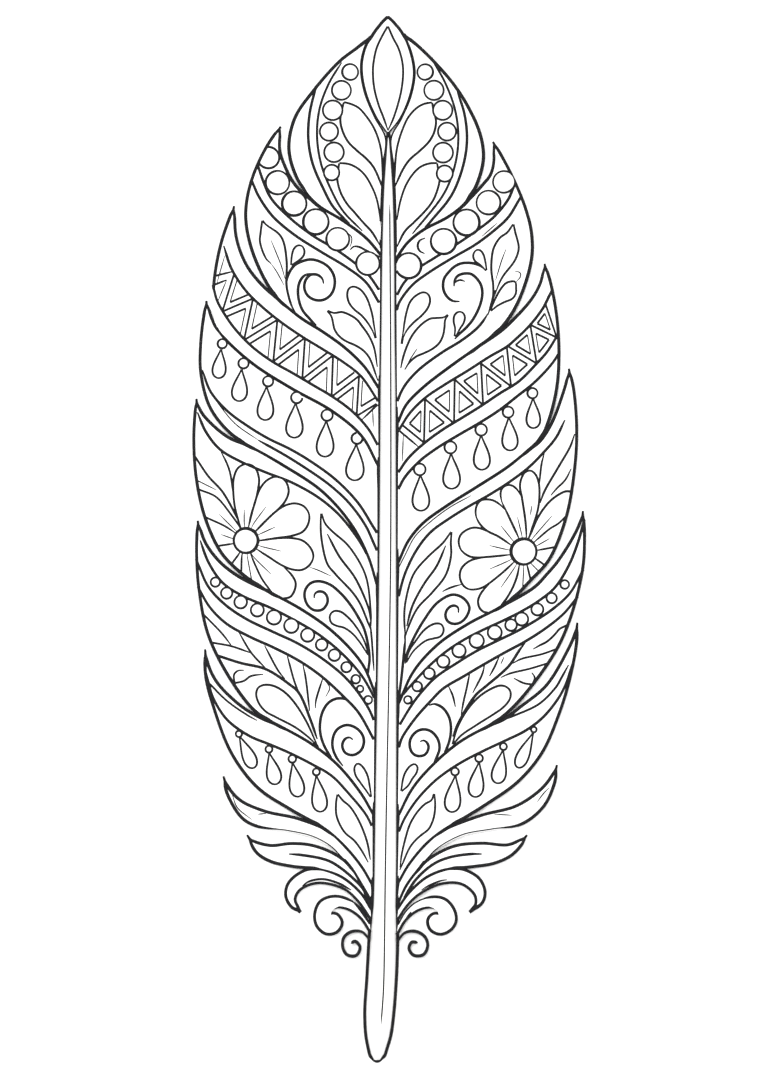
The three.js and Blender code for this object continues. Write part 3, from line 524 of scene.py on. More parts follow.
            [(54.7, 20.7), (52.8, 17.2), (50.5, 14.9), (48.5, 12.6)],
            [(55.7, 31.1), (54.3, 27.2), (50.8, 21.1), (46.6, 13.8), (45.3, 10.3)],
            [(46.6, 25.3), (45.8, 22.2), (45.4, 19.2), (45.1, 15.7)],
        ],
        "hair": [
            [(24.7, 12.6), (18.5, 9.2), (12.4, 4.7), (7.8, 0.3), (4.7, -5.5)], [(42.8, 9.5), (42.4, 6.8)],
            [(38.5, 6.1), (39.9, 0.3)], [(33.5, 3.6), (37.2, -1)], [(30.1, -2.4), (35.8, -3.7)],
            [(30.1, -9.5), (36.2, -6.8)], [(33.5, -15.1), (38, -8.5)], [(40.1, -15.1), (40.4, -8.9)],
            [(44.5, -9.7), (42.2, -7.4)], [(48.2, -0.3), (44.1, -2.6)], [(48.9, 6.5), (43.2, -0.1)],
        ],
        "leaves": [
            (
                [(18.7, 1.7), (16.2, -1.6), (12, -5.5), (8.2, -9.7), (6.6, -12.8), (4.9, -19.7),
                 (4.6, -23.5), (4.9, -29.7)],
                [(18.7, 1.7), (18.5, -1.6), (18.6, -5.1), (17, -11.2), (12.8, -16.6), (8.5, -21.2),
                 (5.7, -27), (4.9, -29.7)],
            ),
        ],
        "shut": [
            [(5.1, -37.4), (6.2, -33.9), (8.2, -30.8), (10.1, -28.2), (12, -26.6), (13.9, -25.8),
             (15.5, -26), (16.3, -27.2), (16.2, -28.5), (15.3, -29.7), (13.5, -30.2), (11.2, -30.8),
             (8.9, -32.4), (7, -34.3)],
        ],
        "eye": (40.3, -4.2, 3.75),
    },
    "lock_left_5": {
        "main": [
            [(-56.7, -0.8), (-54.2, -7.4), (-50, -13.5), (-43.8, -17.6), (-36.2, -20.8), (-28.5, -24.7),
             (-20.8, -29.3), (-13.8, -35.1), (-8.1, -41.6), (-4.2, -48.5)],
            [(-57.3, -7.8), (-54.2, -14.7), (-49.2, -20.1), (-42.7, -24.5), (-35, -28.2), (-27.3, -31.8),
             (-19.6, -36.6), (-12.3, -42.8), (-6.3, -51), (-4.2, -55.8)],
            [(-56.9, -15.5), (-53.8, -20.8), (-48.8, -25.8), (-41.9, -29.7), (-34.6, -33), (-26.9, -37),
             (-20, -41.8), (-13.5, -47.8), (-9.2, -52.4), (-3.8, -62)],
            [(-51.2, -35.5), (-44.6, -37.6), (-36.9, -39.5), (-30, -43.9), (-27, -46.6), (-23.5, -54.7),
             (-21.5, -60.5)],
            [(-17.7, -65.5), (-19.6, -62), (-20.6, -58.5), (-20.6, -55.1), (-19.8, -52), (-18.1, -49.5),
             (-15.8, -48.3), (-13.8, -48.3), (-11.9, -49.1)],
            [(-13.8, -68.5), (-15.8, -65.8), (-16.9, -62.8), (-16.7, -59.7), (-15.4, -57.4), (-12.7, -56.2),
             (-10, -57), (-8.1, -58.9), (-7.5, -61.2), (-8.5, -63.9), (-10.8, -65.2), (-13.1, -64.5),
             (-14, -62.4), (-13.3, -60.5), (-11.9, -59.9), (-10.8, -60.6)],
        ],
        "fine": [
            [(-45, -28.5), (-41.2, -34.7), (-36.9, -39.3)],
            [(-52.7, -31.6), (-47.3, -32.6), (-41.2, -34.7)], [(-55, -23.7), (-50, -28.9), (-47.3, -32.4)],
            [(-37.3, -32.4), (-33.1, -40.1), (-31.2, -42.4)],
            [(-30.6, -35.1), (-28.1, -43.9), (-26.5, -47.4)], [(-25.8, -38.2), (-25, -42), (-23.8, -52)],
            [(-19.8, -42), (-21.9, -48.9), (-22.1, -51.2)],
            [(-46.3, -43.7), (-43.5, -43), (-41.5, -41.6), (-37.7, -41)],
            [(-46.3, -43.7), (-46.5, -41.2), (-45.4, -40), (-43.5, -39.8)],
        ],
        "hair": [[(-19.6, -42.4), (-17.8, -45), (-19, -47.8)]],
        "shut": [
            [(-21.2, -63.5), (-24.6, -55.5), (-28.5, -49.3), (-31.5, -46.2), (-34.6, -44.5), (-37.3, -44.2),
             (-39.2, -45.1), (-39.8, -47), (-39, -49.7), (-36.9, -52.2), (-33.8, -53.9), (-27.3, -57.4),
             (-21.5, -62.4)],
            [(-5.4, -77.8), (-5.8, -74.7), (-6.5, -71.2), (-8.1, -68.5), (-9.4, -67.8), (-10.3, -68.9),
             (-10, -71.2), (-8.5, -73.5), (-6.5, -76.2)],
        ],
        "beads": [(-52.1, -13.4, 1.35), (-48.7, -16.7, 1.65), (-44.5, -19.4, 1.85), (-39.5, -21.8, 1.9),
                  (-34.5, -24, 2.1), (-29.3, -26.5, 2.1), (-24.4, -29.3, 1.95), (-20.2, -32.2, 1.7),
                  (-16.4, -35.3, 1.7), (-12.8, -38.9, 1.5), (-10, -42.5, 1.25), (-8.7, -45.4, 0.95),
                  (-6.3, -48.7, 1.15)],
    },
    "lock_right_4": {
        "main": [
            [(58.2, 3.8), (56.8, -1.2), (53.9, -8.5), (49.7, -15.1), (45.1, -18.9), (39.7, -22.2),
             (34.3, -24.9), (28.9, -27.4), (23.5, -30.1), (17.8, -33.7), (12.4, -38.2), (7, -43.9),
             (4.7, -46.6)],
            [(57.8, -10.5), (54.3, -16.6), (49.7, -21), (44.3, -24.7), (38.2, -28.2), (32, -31.2),
             (25.8, -34.3), (20.1, -37.8), (13.9, -42), (8.9, -47.4), (6.2, -51.2), (3, -56.6)],
            [(56.2, -18.2), (52.4, -22.8), (47, -27.2), (40.8, -31.2), (34.7, -34.5), (28.5, -38),
             (22.4, -41.6), (16.2, -45.3), (12.4, -49.1), (7.8, -54.3), (3.9, -60.1), (3, -62.8)],
            [(40.8, -31.6), (39.3, -33.5), (36.2, -38.2), (33.9, -40.5), (28.9, -44.7), (26.2, -47),
             (23.9, -50.1), (20.5, -56.2), (19.1, -59.7)],
            [(17, -63.9), (18, -61.2), (18.5, -58.5), (18.5, -56.2), (18, -53.9), (16.8, -51.8),
             (15.3, -50.5), (13.5, -49.9), (12, -50.3)],
            [(14.3, -65.8), (15.1, -63.5), (14.9, -61.2), (13.9, -59.3), (12.4, -58), (10.7, -57.5),
             (8.9, -57.8), (7.4, -58.9), (6.4, -60.5), (6.2, -62.4), (6.8, -64.3), (8, -65.3), (9.3, -65.5),
             (10.7, -65.1), (11.6, -63.9), (11.8, -62.4), (11.2, -61.3), (10.3, -60.8), (9.3, -61.2)],
        ],
        "fine": [
            [(52.8, -26.6), (51.2, -27.4), (49.7, -29.1), (47.4, -31.2), (45.1, -32.4), (43.2, -33.5)],
            [(50.1, -33.5), (45.8, -35), (39.7, -36.4), (37, -37.8)],
            [(47.4, -37.8), (42.4, -39.3), (36.2, -40.8), (33.5, -42)],
            [(33, -35.8), (31.6, -38.9), (30.1, -41.6)], [(28.7, -37.8), (28, -40.8), (25.1, -46.6)],
            [(24.3, -40.1), (23.2, -45.5), (22.4, -48.9), (21.6, -53.2)],
            [(17.8, -44.5), (19.1, -47.4), (19.9, -50.8)], [(43, -44.1), (40.5, -43.7), (37.4, -42.2)],
            [(43, -44.1), (43.7, -42), (42.8, -40.5)],
        ],
        "hair": [[(34.5, -35.8), (33.5, -38)]],
        "shut": [
            [(19.1, -62), (21.6, -59.3), (26.2, -56.2), (31.6, -52.8), (33.9, -51.2), (35.7, -49.3),
             (36.4, -47.8), (36.3, -46), (35.1, -44.8), (33.5, -44.4), (31.6, -44.9), (27.4, -47.4),
             (23.5, -51.6), (20.5, -57)],
            [(3.7, -76), (4.3, -72), (5.3, -69.7), (6.6, -68.3), (7.8, -68), (8.5, -68.9), (8.2, -70.5),
             (7, -72.2), (5.7, -74.3)],
        ],
        "beads": [(52.7, -14.1, 1.25), (48.8, -18.2, 1.5), (44.5, -21.6, 1.75), (39.8, -24.5, 1.9),
                  (36.6, -26.3, 1.7), (31.7, -28.5, 2.05), (26.3, -31, 2.1), (21, -34, 1.95),
                  (16.3, -37.2, 1.8), (12.1, -40.8, 1.6), (8.5, -44.7, 1.4), (5.7, -48.7, 1.1)],
    },
    "lock_left_6": {
        "main": [
            [(-54.8, -40.5), (-53.9, -44.5), (-52.5, -48.6), (-48.5, -54.7), (-41.9, -59.5), (-35.4, -62.2),
             (-29.2, -64.9), (-23.1, -68), (-17.3, -71.4), (-11.9, -77), (-6.9, -83.2), (-5, -87)],
        ],
        "fine": [[(-53.8, -43.9), (-48.8, -48.9), (-42.7, -53.2), (-39.6, -54.9)]],
        "leaves": [
            (
                [(-15.4, -77), (-13.8, -78.9), (-11.9, -80.5), (-10, -83.2), (-8.1, -87), (-6.5, -91.6),
                 (-5.6, -96.6)],
                [(-15.4, -77), (-15.8, -79.3), (-15.8, -82.8), (-14.8, -85.8), (-13.1, -88.5),
                 (-10.4, -90.8), (-8.1, -93.9), (-6.2, -97.4)],
            ),
        ],
        "drops": [
            ((-45, -58.9, 0.9), (-44.8, -59.7), (-40.5, -69), 1.9),
            ((-36, -63.5, 1), (-35.9, -64.7), (-33.9, -73.9), 2.1),
            ((-29, -66.4, 1.1), (-28.9, -67.6), (-27.1, -77.6), 2.15),
            ((-21.8, -70.3, 1), (-21.8, -71.4), (-20.4, -82.1), 2.2),
        ],
    },
    "lock_right_5": {
        "main": [
            [(54.9, -38), (53.2, -43.5), (50.8, -48.2), (46, -54.1), (40.8, -58), (34.7, -61),
             (28.5, -63.9), (22.8, -66.8), (17.8, -69.9), (13.2, -73.5), (8.2, -78.9), (4.7, -84.3),
             (3, -88.2)],
        ],
        "fine": [[(53.9, -38.2), (51.8, -42), (50.1, -44.9), (45.1, -49.9), (38.2, -53.2), (34.7, -54.5)]],
        "leaves": [
            (
                [(13.5, -76.8), (12.8, -78.7), (10.8, -79.9), (8.9, -81.8), (7.4, -83.9), (6.2, -86.2),
                 (5.3, -88.9), (3.9, -94.7), (3.3, -98.9)],
                [(13.5, -76.8), (13.8, -80.1), (13.6, -82.8), (13, -85.1), (11.8, -87.4), (9.7, -89.1),
                 (7.8, -90.8), (6, -93.2), (3.2, -99.7)],
            ),
        ],
        "drops": [
            ((43.4, -57.6, 0.8), (43.2, -58.7), (38.6, -68.9), 1.8),
            ((34.3, -62.7, 1), (34.2, -63.8), (32.4, -73.6), 2.1),
            ((27, -66.2, 1.1), (27, -67.4), (25.7, -77.7), 2.2),
            ((19.8, -70.2, 1.1), (19.9, -71.4), (18.7, -82.2), 2.3),
        ],
    },
    "plume_left_7": {
        "hair": [[(-47, -77.3), (-45.5, -81), (-41.2, -84.6)], [(-39.3, -83), (-36.9, -82.8)]],
    },
    "plume_right_6": {"hair": [[(48, -75.1), (46.2, -77), (44.5, -79.3)], [(36.8, -83.3), (31.6, -83)]]},
    "plume_left_8": {
        "main": [
            [(-30, -94.9), (-26.2, -95.2), (-20, -96.3), (-16.9, -97.5), (-12.3, -100.8), (-8.1, -105.1),
             (-6.2, -108.9)],
        ],
    },
    "plume_right_7": {
        "main": [
            [(27.8, -94.9), (24.7, -94.9), (18.5, -95.8), (13.5, -97.8), (8.2, -102.4), (4.7, -107.8),
             (3.3, -110.5)],
        ],
    },
    "curl_left_a": {
        "fine": [[(-26, -104.5), (-24.2, -103.2), (-20, -102.4), (-15, -103.7), (-11.3, -105.7)]],
    },
    "curl_left_b": {"fine": [[(-10, -110.1), (-8.5, -112), (-6.9, -114.3)]]},
    "curl_right_a": {"fine": [[(17.4, -102.6), (15.5, -102.9), (11.6, -104.5), (9.7, -105.7)]]},
    "curl_right_b": {"fine": [[(4.7, -115), (5.7, -113.5), (6.6, -112.2)]]},
}
QUILL_HAIR = [(0.2, 100), (0.5, 50), (0.5, 0), (0.3, -20), (-0.2, -50), (-0.6, -70), (-1.1, -100),
              (-1.35, -120), (-1.65, -135), (-2.4, -146)]

MOTIFS = ("main", "fine", "hair", "leaves", "shut", "beads", "drops")

DENSE = 600               # steps of a smooth line before it is divided evenly
BODY_STEPS = 150          # rows of a lock from the quill to its tip
BODY_COLUMNS = 20
SMALL_COLUMNS = 12        # of a plume and the petal
CURL_COLUMNS = 10
STRAND_COLUMNS = 6
HOOK_STEPS = 120
HOOK_FINENESS = 20        # how many times finer a belly is divided before its rows are chosen
PETAL_STEPS = 80
QUILL_ROWS = 160
QUILL_OUTLINE_ROWS = 420
OUTLINE_STEPS = 60        # of a closed outline under a pad
DROP_STEPS = 36
DROP_POINT = 1.6          # the higher this is, the longer a drop's point
PAD_ROWS, PAD_COLUMNS = 22, 8
PAD_DEPTH = 0.3           # how deep a pad reaches into the vane, mm
PAD_LIFT = 0.015          # of a pad's edge above the vane, mm
DOME_SEGMENTS, DOME_RINGS = 20, 10
DOME_SINK = 0.02
FULL_BEAD = 2.5           # radius from which a bead has its full height, mm
RING_INSET = 0.2          # from the middle of a ring's ink to its dome, mm
RING_OVERLAP = 0.15       # how far a line runs into a ring, mm
ABOVE = 50                # a height above everything, mm
EDGE_SLIP = 0.004         # how far aside a ray is sent again that slipped through at an edge, mm
SIDES = 6                 # of an ink line
INK_LIFT = 0.01
SHORT_LINE = 4            # a fine line with more points than this has a bead line's width
PETAL_POINTS = 8          # a fine line beside the eye with more points than this is a petal with a pad
OUTLINE_RISE = 1.3        # height of an outline's ink, as a share of a line's
LOCK_TIP_INK = 0.6        # share of an outline's width at a lock's tip
LOCK_TIP_LENGTH = 4       # length over which it narrows to that, mm
LARGE_BEAD = 3.55         # radius past which a bead's ring has a main line's width, mm
RING_REACH = 1.7          # a line that ends this near the daisy's ring is carried on to it, mm
NESTED_SHARE = 0.5        # size of a triangle nested in the zigzag
OPEN_SHARE = 0.64         # the same for one that is open to the band's line
LINE_TAPER = 0.5          # share of an ink line's width where it stops on the vane
CARRY_STEP = 0.15         # between the places tried on the way, mm
CARRY_TO_QUILL = 5        # how far a line may be carried on to the quill, mm
CARRY_TO_RIM = 1.8        # the same to any other edge of its lock
QUILL_SIDE = 6            # an edge this near the middle is the quill's side, mm
SPACING = 0.55            # between the rings of an ink line, mm
CORE = 0.12               # how deep an ink line reaches into the vane, mm
BOLD_LENGTH = 2.5         # length over which a seam's ink grows to a full outline before a fork, mm
SEAM_INSET = 0.25         # from the middle of a seam to the middle of either lock's ink, mm
SHARP_ANGLE = 50          # degrees

# Ink along the quill
QUILL_LINE = 0.7          # its middle line's width as a share of a fine line's
QUILL_LINE_ENDS = 0.3
QUILL_TOP, QUILL_BOTTOM = 1.8, 1.2     # how far past its last stations the outline goes, and begins again
BARE_FROM, BARE_CHANGE = -110, 12      # where the vane leaves the quill bare, and over what length
QUILL_INSET, BARE_INSET = 0.1, 0.2     # from the quill's side to the outline, and what is added where bare
BARE_LEVEL = 0.35         # height of the outline on the bare quill, as a share of the quill's
QUILL_INK_RISE = 0.35
FOOT_LINE = [(0, -0.35), (0.55, -0.2), (1.15, 0.35)]   # round the end: across, and up from its station
FOOT_BLEND, FOOT_STEPS = 4, 60         # places on each side that are smoothed with it, and their steps
QUILL_BOLD = ((-125, -95, 20, 80), (1.2, 0.95, 0.9, 0.65))   # places along it, and shares of the width

# Stage: name, place in metres, size, power
LIGHTS = (("key", (-0.12, 0.16, 1.5), 0.5, 21), ("fill", (0.4, -0.25, 1.6), 1.4, 9))
SKY_STRENGTH = 0.38
FLOOR_SIZE = 3
LENS, SENSOR = 150, 36
VIEW_MIDDLE = (-2.7, -0.15)
HALF_VIEW = 161.4         # half of what the camera sees from tip to foot, mm
LENS_LIFT = 3


class FeatherSizes(bpy.types.PropertyGroup):
    outline_width: bpy.props.FloatProperty(
        name="Outline width", description="Black outline of the free edges",
        default=1.14 * MM, min=0, unit="LENGTH")
    seam_width: bpy.props.FloatProperty(
        name="Seam width", description="Outline of one lock beside its neighbour",
        default=0.54 * MM, min=0, unit="LENGTH")
    main_width: bpy.props.FloatProperty(
        name="Line width", description="Main lines of the ornament",
        default=0.94 * MM, min=0, unit="LENGTH")
    bead_width: bpy.props.FloatProperty(
        name="Bead line width", description="Lines round beads, drops, leaves and petals",
        default=0.79 * MM, min=0, unit="LENGTH")
    fine_width: bpy.props.FloatProperty(
        name="Fine line width", description="Fine lines and the zigzag",
        default=0.7 * MM, min=0, unit="LENGTH")
    hair_width: bpy.props.FloatProperty(
        name="Hair line width", description="Veins and hair lines",
        default=0.42 * MM, min=0, unit="LENGTH")
    line_rise: bpy.props.FloatProperty(
        name="Line height", description="How far the ink stands out of the vane",
        default=0.14 * MM, min=0, unit="LENGTH")
    bead_rise: bpy.props.FloatProperty(
        name="Bead height", description="How far a bead is domed",
        default=0.45 * MM, min=0, unit="LENGTH")
    pad_rise: bpy.props.FloatProperty(
        name="Leaf height", description="How far leaves, petals and drops swell",
        default=0.35 * MM, min=0, unit="LENGTH")


class FeatherColours(bpy.types.PropertyGroup):
    card: bpy.props.FloatVectorProperty(
        name="Vane", description="White card of the vane", subtype="COLOR", size=3, min=0, max=1,
        default=(0.955, 0.955, 0.95))
    grain: bpy.props.FloatVectorProperty(
        name="Barb grain", description="Darker streaks along the barbs", subtype="COLOR", size=3,
        min=0, max=1, default=(0.915, 0.915, 0.905))
    quill: bpy.props.FloatVectorProperty(
        name="Quill", description="Smooth off-white quill", subtype="COLOR", size=3, min=0, max=1,
        default=(0.95, 0.948, 0.94))
    ink: bpy.props.FloatVectorProperty(
        name="Ink", description="Black line ornament", subtype="COLOR", size=3, min=0, max=1,
        default=(0.008, 0.008, 0.009))
    floor: bpy.props.FloatVectorProperty(
        name="Floor", description="Plain floor under the feather", subtype="COLOR", size=3, min=0, max=1,
        default=(0.93, 0.93, 0.93))


def sizes():
    return bpy.context.scene.feather_sizes


def width_of(kind):
    """Width of a kind of line, in millimetres."""
    return getattr(sizes(), kind + "_width") / MM


# Lines

def curve_points(points, count):
    """A centripetal Catmull-Rom curve through points, sampled evenly by parameter."""
    p = np.asarray(points, float)
    p = np.vstack([2 * p[0] - p[1], p, 2 * p[-1] - p[-2]])
    t = np.linspace(0, len(points) - 1, count)
    start = np.minimum(t.astype(int), len(points) - 2)
    w = (t - start)[:, None]
    a, b, c, d = (p[start + k] for k in range(4))
    before, here, after = (
        np.maximum(np.linalg.norm(q - r, axis=1) ** 0.5, 1e-4)[:, None] for q, r in ((b, a), (c, b), (d, c)))
    leave = ((b - a) / before - (c - a) / (before + here) + (c - b) / here) * here
    arrive = ((c - b) / here - (d - b) / (here + after) + (d - c) / after) * here
    squared, cubed = 3 * (c - b) - 2 * leave - arrive, 2 * (b - c) + leave + arrive
    return b + leave * w + squared * w ** 2 + cubed * w ** 3


SMOOTH_QUILL = curve_points(QUILL, 500)


def lengths_along(line):
    return np.concatenate([[0], np.cumsum(np.linalg.norm(np.diff(line, axis=0), axis=1))])


def evenly(points, steps):
    """Places evenly spaced by length on a smooth line through points."""
    dense = curve_points(points, DENSE + 1)
    reached = lengths_along(dense)
    want = np.linspace(0, reached[-1], steps + 1)
    return np.column_stack([np.interp(want, reached, dense[:, axis]) for axis in (0, 1)])


def drawn(points):
    """A smooth line through points with rings about SPACING apart."""
    length = lengths_along(np.asarray(points, float))[-1]
    return evenly(points, max(4, math.ceil(length / SPACING)))


def tangents(line):
    along = np.gradient(line, axis=0)
    return along / np.maximum(np.linalg.norm(along, axis=1), 1e-9)[:, None]


def circle(x, y, radius):
    turn = np.linspace(0, 2 * math.pi, max(18, math.ceil(2 * math.pi * radius / SPACING)) + 1)
    return np.column_stack([x + radius * np.cos(turn), y + radius * np.sin(turn)])


def teardrop(top, bottom, half_width):
    """A closed drop outline that starts and ends at its pointed top."""
    top, bottom = np.array(top, float), np.array(bottom, float)
    turn = np.linspace(0, 2 * math.pi, DROP_STEPS + 1)
    swell = np.sin(turn) * np.abs(np.sin(turn / 2)) ** DROP_POINT
    swell *= half_width / swell.max()
    axis = bottom - top
    side = np.array([-axis[1], axis[0]]) / np.linalg.norm(axis)
    return top + np.outer((1 - np.cos(turn)) / 2, axis) + np.outer(swell, side)


def halves(outline):
    """The two sides of a closed outline, from its pointed start to the far end."""
    middle = len(outline) // 2
    return outline[:middle + 1], outline[:middle - 1:-1]


# Heights, the same as the solids'

def quill_at(y):
    """Middle, half width and height of the quill, smooth through its stations."""
    return [np.interp(y, SMOOTH_QUILL[:, 0], SMOOTH_QUILL[:, column]) for column in (1, 2, 3)]


def on_quill(side, y):
    middle, half_width, _ = quill_at(y)
    return (middle + side * (half_width + QUILL_GAP), y)


def vane_floor(x, y):
    """Height of the vane's underside: highest beside the quill, and lower on the crown."""
    part = np.clip((y - RISE_START) / RISE_CHANGE, 0, 1)
    rise = ROOT_RISE + (CROWN_RISE - ROOT_RISE) * part * part * (3 - 2 * part)
    across = np.minimum(1, np.abs(x - quill_at(y)[0]) / VANE_REACH)
    return EDGE_LIFT + rise * (1 - across ** 2)


def rim_reach(past_fork, to_tip):
    """How far an edge stands outside its points: half a gap inside on a seam, and growing past the fork."""
    reach = np.clip(past_fork * RIM_GROWTH, 0, RIM_REACH + HALF_GAP) - HALF_GAP
    return reach * np.minimum(1, to_tip / TIP_FADE)


def strand_reach(from_quill, to_tip):
    share, taper = STRAND_TAPER
    return (STRAND_WIDTH / 2 * np.minimum(1, share + from_quill / taper)
            * np.minimum(1, to_tip / STRAND_TIP))


def edge_line(points, fork_index, outward, reach=rim_reach, steps=BODY_STEPS):
    """An outline moved sideways, how free each of its places is, 0 on a seam and 1 on a free edge, and
    how bold its ink is, from 0 on a seam to 1 at the fork and past it."""
    lengths = lengths_along(curve_points(points, DENSE + 1))
    reached = np.linspace(0, lengths[-1], steps + 1)
    past_fork = reached - lengths[round(fork_index / (len(points) - 1) * DENSE)]
    line = evenly(points, steps)
    along = tangents(line)
    amount = reach(past_fork, lengths[-1] - reached)
    moved = line + outward * amount[:, None] * np.column_stack([along[:, 1], -along[:, 0]])
    free = np.clip(past_fork * RIM_GROWTH / (RIM_REACH + HALF_GAP), 0, 1)
    return moved, free, np.clip(past_fork / BOLD_LENGTH + 1, 0, 1)


class Patch:
    """A lock's surface between its leading and outer edge, which run from the quill to a shared tip."""

    def __init__(self, leading, outer, turned_up=True):
        self.edges, self.free, self.bold = (list(pair) for pair in zip(leading, outer))
        self.turned_up = turned_up
        self.steps = len(leading[0]) - 1

    def width(self):
        return np.linalg.norm(self.edges[1] - self.edges[0], axis=1)

    def top(self, across):
        """A line of x, y, z from the quill to the tip; across goes from 0, leading, to 1, outer."""
        across = np.broadcast_to(across, self.steps + 1)
        place = self.edges[0] + (self.edges[1] - self.edges[0]) * across[:, None]
        width = self.width()
        swell = CAMBER * np.minimum(1, width / CAMBER_WIDTH) * np.sin(math.pi * across)
        step = STEP * (across - 0.5) * np.minimum(1, width / STEP_WIDTH)
        lift = self.turned_up * TIP_LIFT * np.linspace(0, 1, self.steps + 1) ** TIP_LIFT_POWER
        height = vane_floor(place[:, 0], place[:, 1]) + swell + step + lift + THICKNESS
        return np.column_stack([place, height])


# Meshes, made in millimetres

def new_mesh():
    """An empty mesh whose corners keep their place along and across the barbs."""
    bm = bmesh.new()
    bm.verts.layers.float_vector.new("barb")
    return bm


def grid(bm, rows, columns):
    """The corners of a flat grid, row by row."""
    return bmesh.ops.create_grid(bm, x_segments=columns, y_segments=rows, size=1)["verts"]


def cells(corners, columns):
    """Each corner of a grid with its row and column."""
    for place, corner in enumerate(corners):
        yield *divmod(place, columns + 1), corner


def close_below(bm, corners, depth):
    """Turns an open sheet into a closed shell with an underside depth lower."""
    faces = list({face for corner in corners for face in corner.link_faces})
    made = bmesh.ops.extrude_face_region(bm, geom=faces)["geom"]
    under = [piece for piece in made if isinstance(piece, bmesh.types.BMVert)]
    bmesh.ops.translate(bm, verts=under, vec=(0, 0, -depth))
    bmesh.ops.remove_doubles(bm, verts=list(corners) + under, dist=1e-4)


def lock_body(bm, patch, columns):
    """A lock's closed shell."""
    barb = bm.verts.layers.float_vector["barb"]
    corners = grid(bm, patch.steps, columns)
    lines = [patch.top(column / columns) for column in range(columns + 1)]
    along = lengths_along(lines[columns // 2][:, :2])
    width = patch.width().max()
    for row, column, corner in cells(corners, columns):
        corner.co = lines[column][row]
        corner[barb] = (along[row], width * column / columns, 0)
    close_below(bm, corners, THICKNESS)


def height_on(tree, x, y):
    """Height of the surface straight below a place, or None beside it."""
    for aside in (0, EDGE_SLIP):
        hit = tree.ray_cast(Vector((x + aside, y + aside / 2, ABOVE)), Vector((0, 0, -1)))[0]
        if hit:
            return hit.z
    return None


class Ground:
    """A lock's bare surface: its height, and the place along and across its barbs, under any point."""

    def __init__(self, bm):
        self.tree = BVHTree.FromBMesh(bm)
        self.faces = list(bm.faces)
        self.barb = bm.verts.layers.float_vector["barb"]

    def under(self, x, y):
        hit, _, face, _ = self.tree.ray_cast(Vector((x, y, ABOVE)), Vector((0, 0, -1)))
        if hit is None:
            return None, None
        corners = self.faces[face].verts
        return hit.z, sum((corner[self.barb] for corner in corners), Vector()) / len(corners)


def dome(bm, ground, x, y, radius, rise):
    """A bead's low dome, where the whole bead lies on the vane."""
    if any(height_on(ground.tree, *place) is None for place in circle(x, y, radius)):
        return
    height, along_barbs = ground.under(x, y)
    made = bmesh.ops.create_uvsphere(
        bm, u_segments=DOME_SEGMENTS, v_segments=DOME_RINGS, radius=1)["verts"]
    bmesh.ops.scale(bm, verts=made, vec=(radius, radius, rise))
    bmesh.ops.translate(bm, verts=made, vec=(x, y, height - DOME_SINK))
    for corner in made:
        corner[ground.barb] = along_barbs


def pad(bm, ground, first, second, rise):
    """A soft swelling between two lines that start and end together."""
    a, b = evenly(first, PAD_ROWS), evenly(second, PAD_ROWS)
    corners = grid(bm, PAD_ROWS, PAD_COLUMNS)
    level, along_barbs = 3, Vector()                      # until the first place that lies on the vane
    for row, column, corner in cells(corners, PAD_COLUMNS):
        across = column / PAD_COLUMNS
        x, y = a[row] + (b[row] - a[row]) * across
        height, barbs = ground.under(x, y)
        if height is not None:
            level, along_barbs = height, barbs
        swell = math.sin(math.pi * across) ** 2 * math.sin(math.pi * min(1, 0.02 + row / PAD_ROWS)) ** 0.7
        corner.co = (x, y, level + PAD_LIFT + rise * max(0, swell))
        corner[ground.barb] = along_barbs
    close_below(bm, corners, PAD_DEPTH)


def tube(bm, line, heights, width, rise, shut=False, ends=(1, 1), fade=3.0):
    """A flattened ink line, closed at both ends or into a loop. ends are its shares of the width there,
    and fade is the length over which it has its full width again."""
    line = np.asarray(line, float)
    along = tangents(line)
    half = np.broadcast_to(width, len(line)) / 2
    if shut:
        along[0] = along[-1] = (along[0] + along[-1]) / np.linalg.norm(along[0] + along[-1])
    else:
        reached = lengths_along(line)
        fade = min(fade, reached[-1] / 3)
        for share, distance in zip(ends, (reached, reached[-1] - reached)):
            half = half * (share + (1 - share) * np.minimum(1, distance / fade))
        line = np.vstack([line[0], line, line[-1]])
        along = np.vstack([along[0], along, along[-1]])
        heights = np.concatenate([[heights[0]], heights, [heights[-1]]])
        half = np.concatenate([[0], half, [0]])
    corners = grid(bm, len(line) - 1, SIDES)
    turn = np.linspace(0, 2 * math.pi, SIDES + 1)
    up = np.where(np.sin(turn) > 0, rise, CORE) * np.sin(turn) / np.sin(turn[1])
    for ring, side, corner in cells(corners, SIDES):
        reach = half[ring] * math.cos(turn[side])
        flat = 0 if half[ring] == 0 else up[side]
        corner.co = (line[ring][0] - along[ring][1] * reach, line[ring][1] + along[ring][0] * reach,
                     heights[ring] + INK_LIFT + flat)
    bmesh.ops.remove_doubles(bm, verts=corners, dist=1e-4)


def stretches(kept):
    """The runs of a line that are kept and long enough to draw, as first and last-but-one places."""
    edges = np.flatnonzero(np.diff(np.concatenate([[0], np.asarray(kept, int), [0]])))
    return [(start, stop) for start, stop in zip(edges[::2], edges[1::2]) if stop - start > 3]


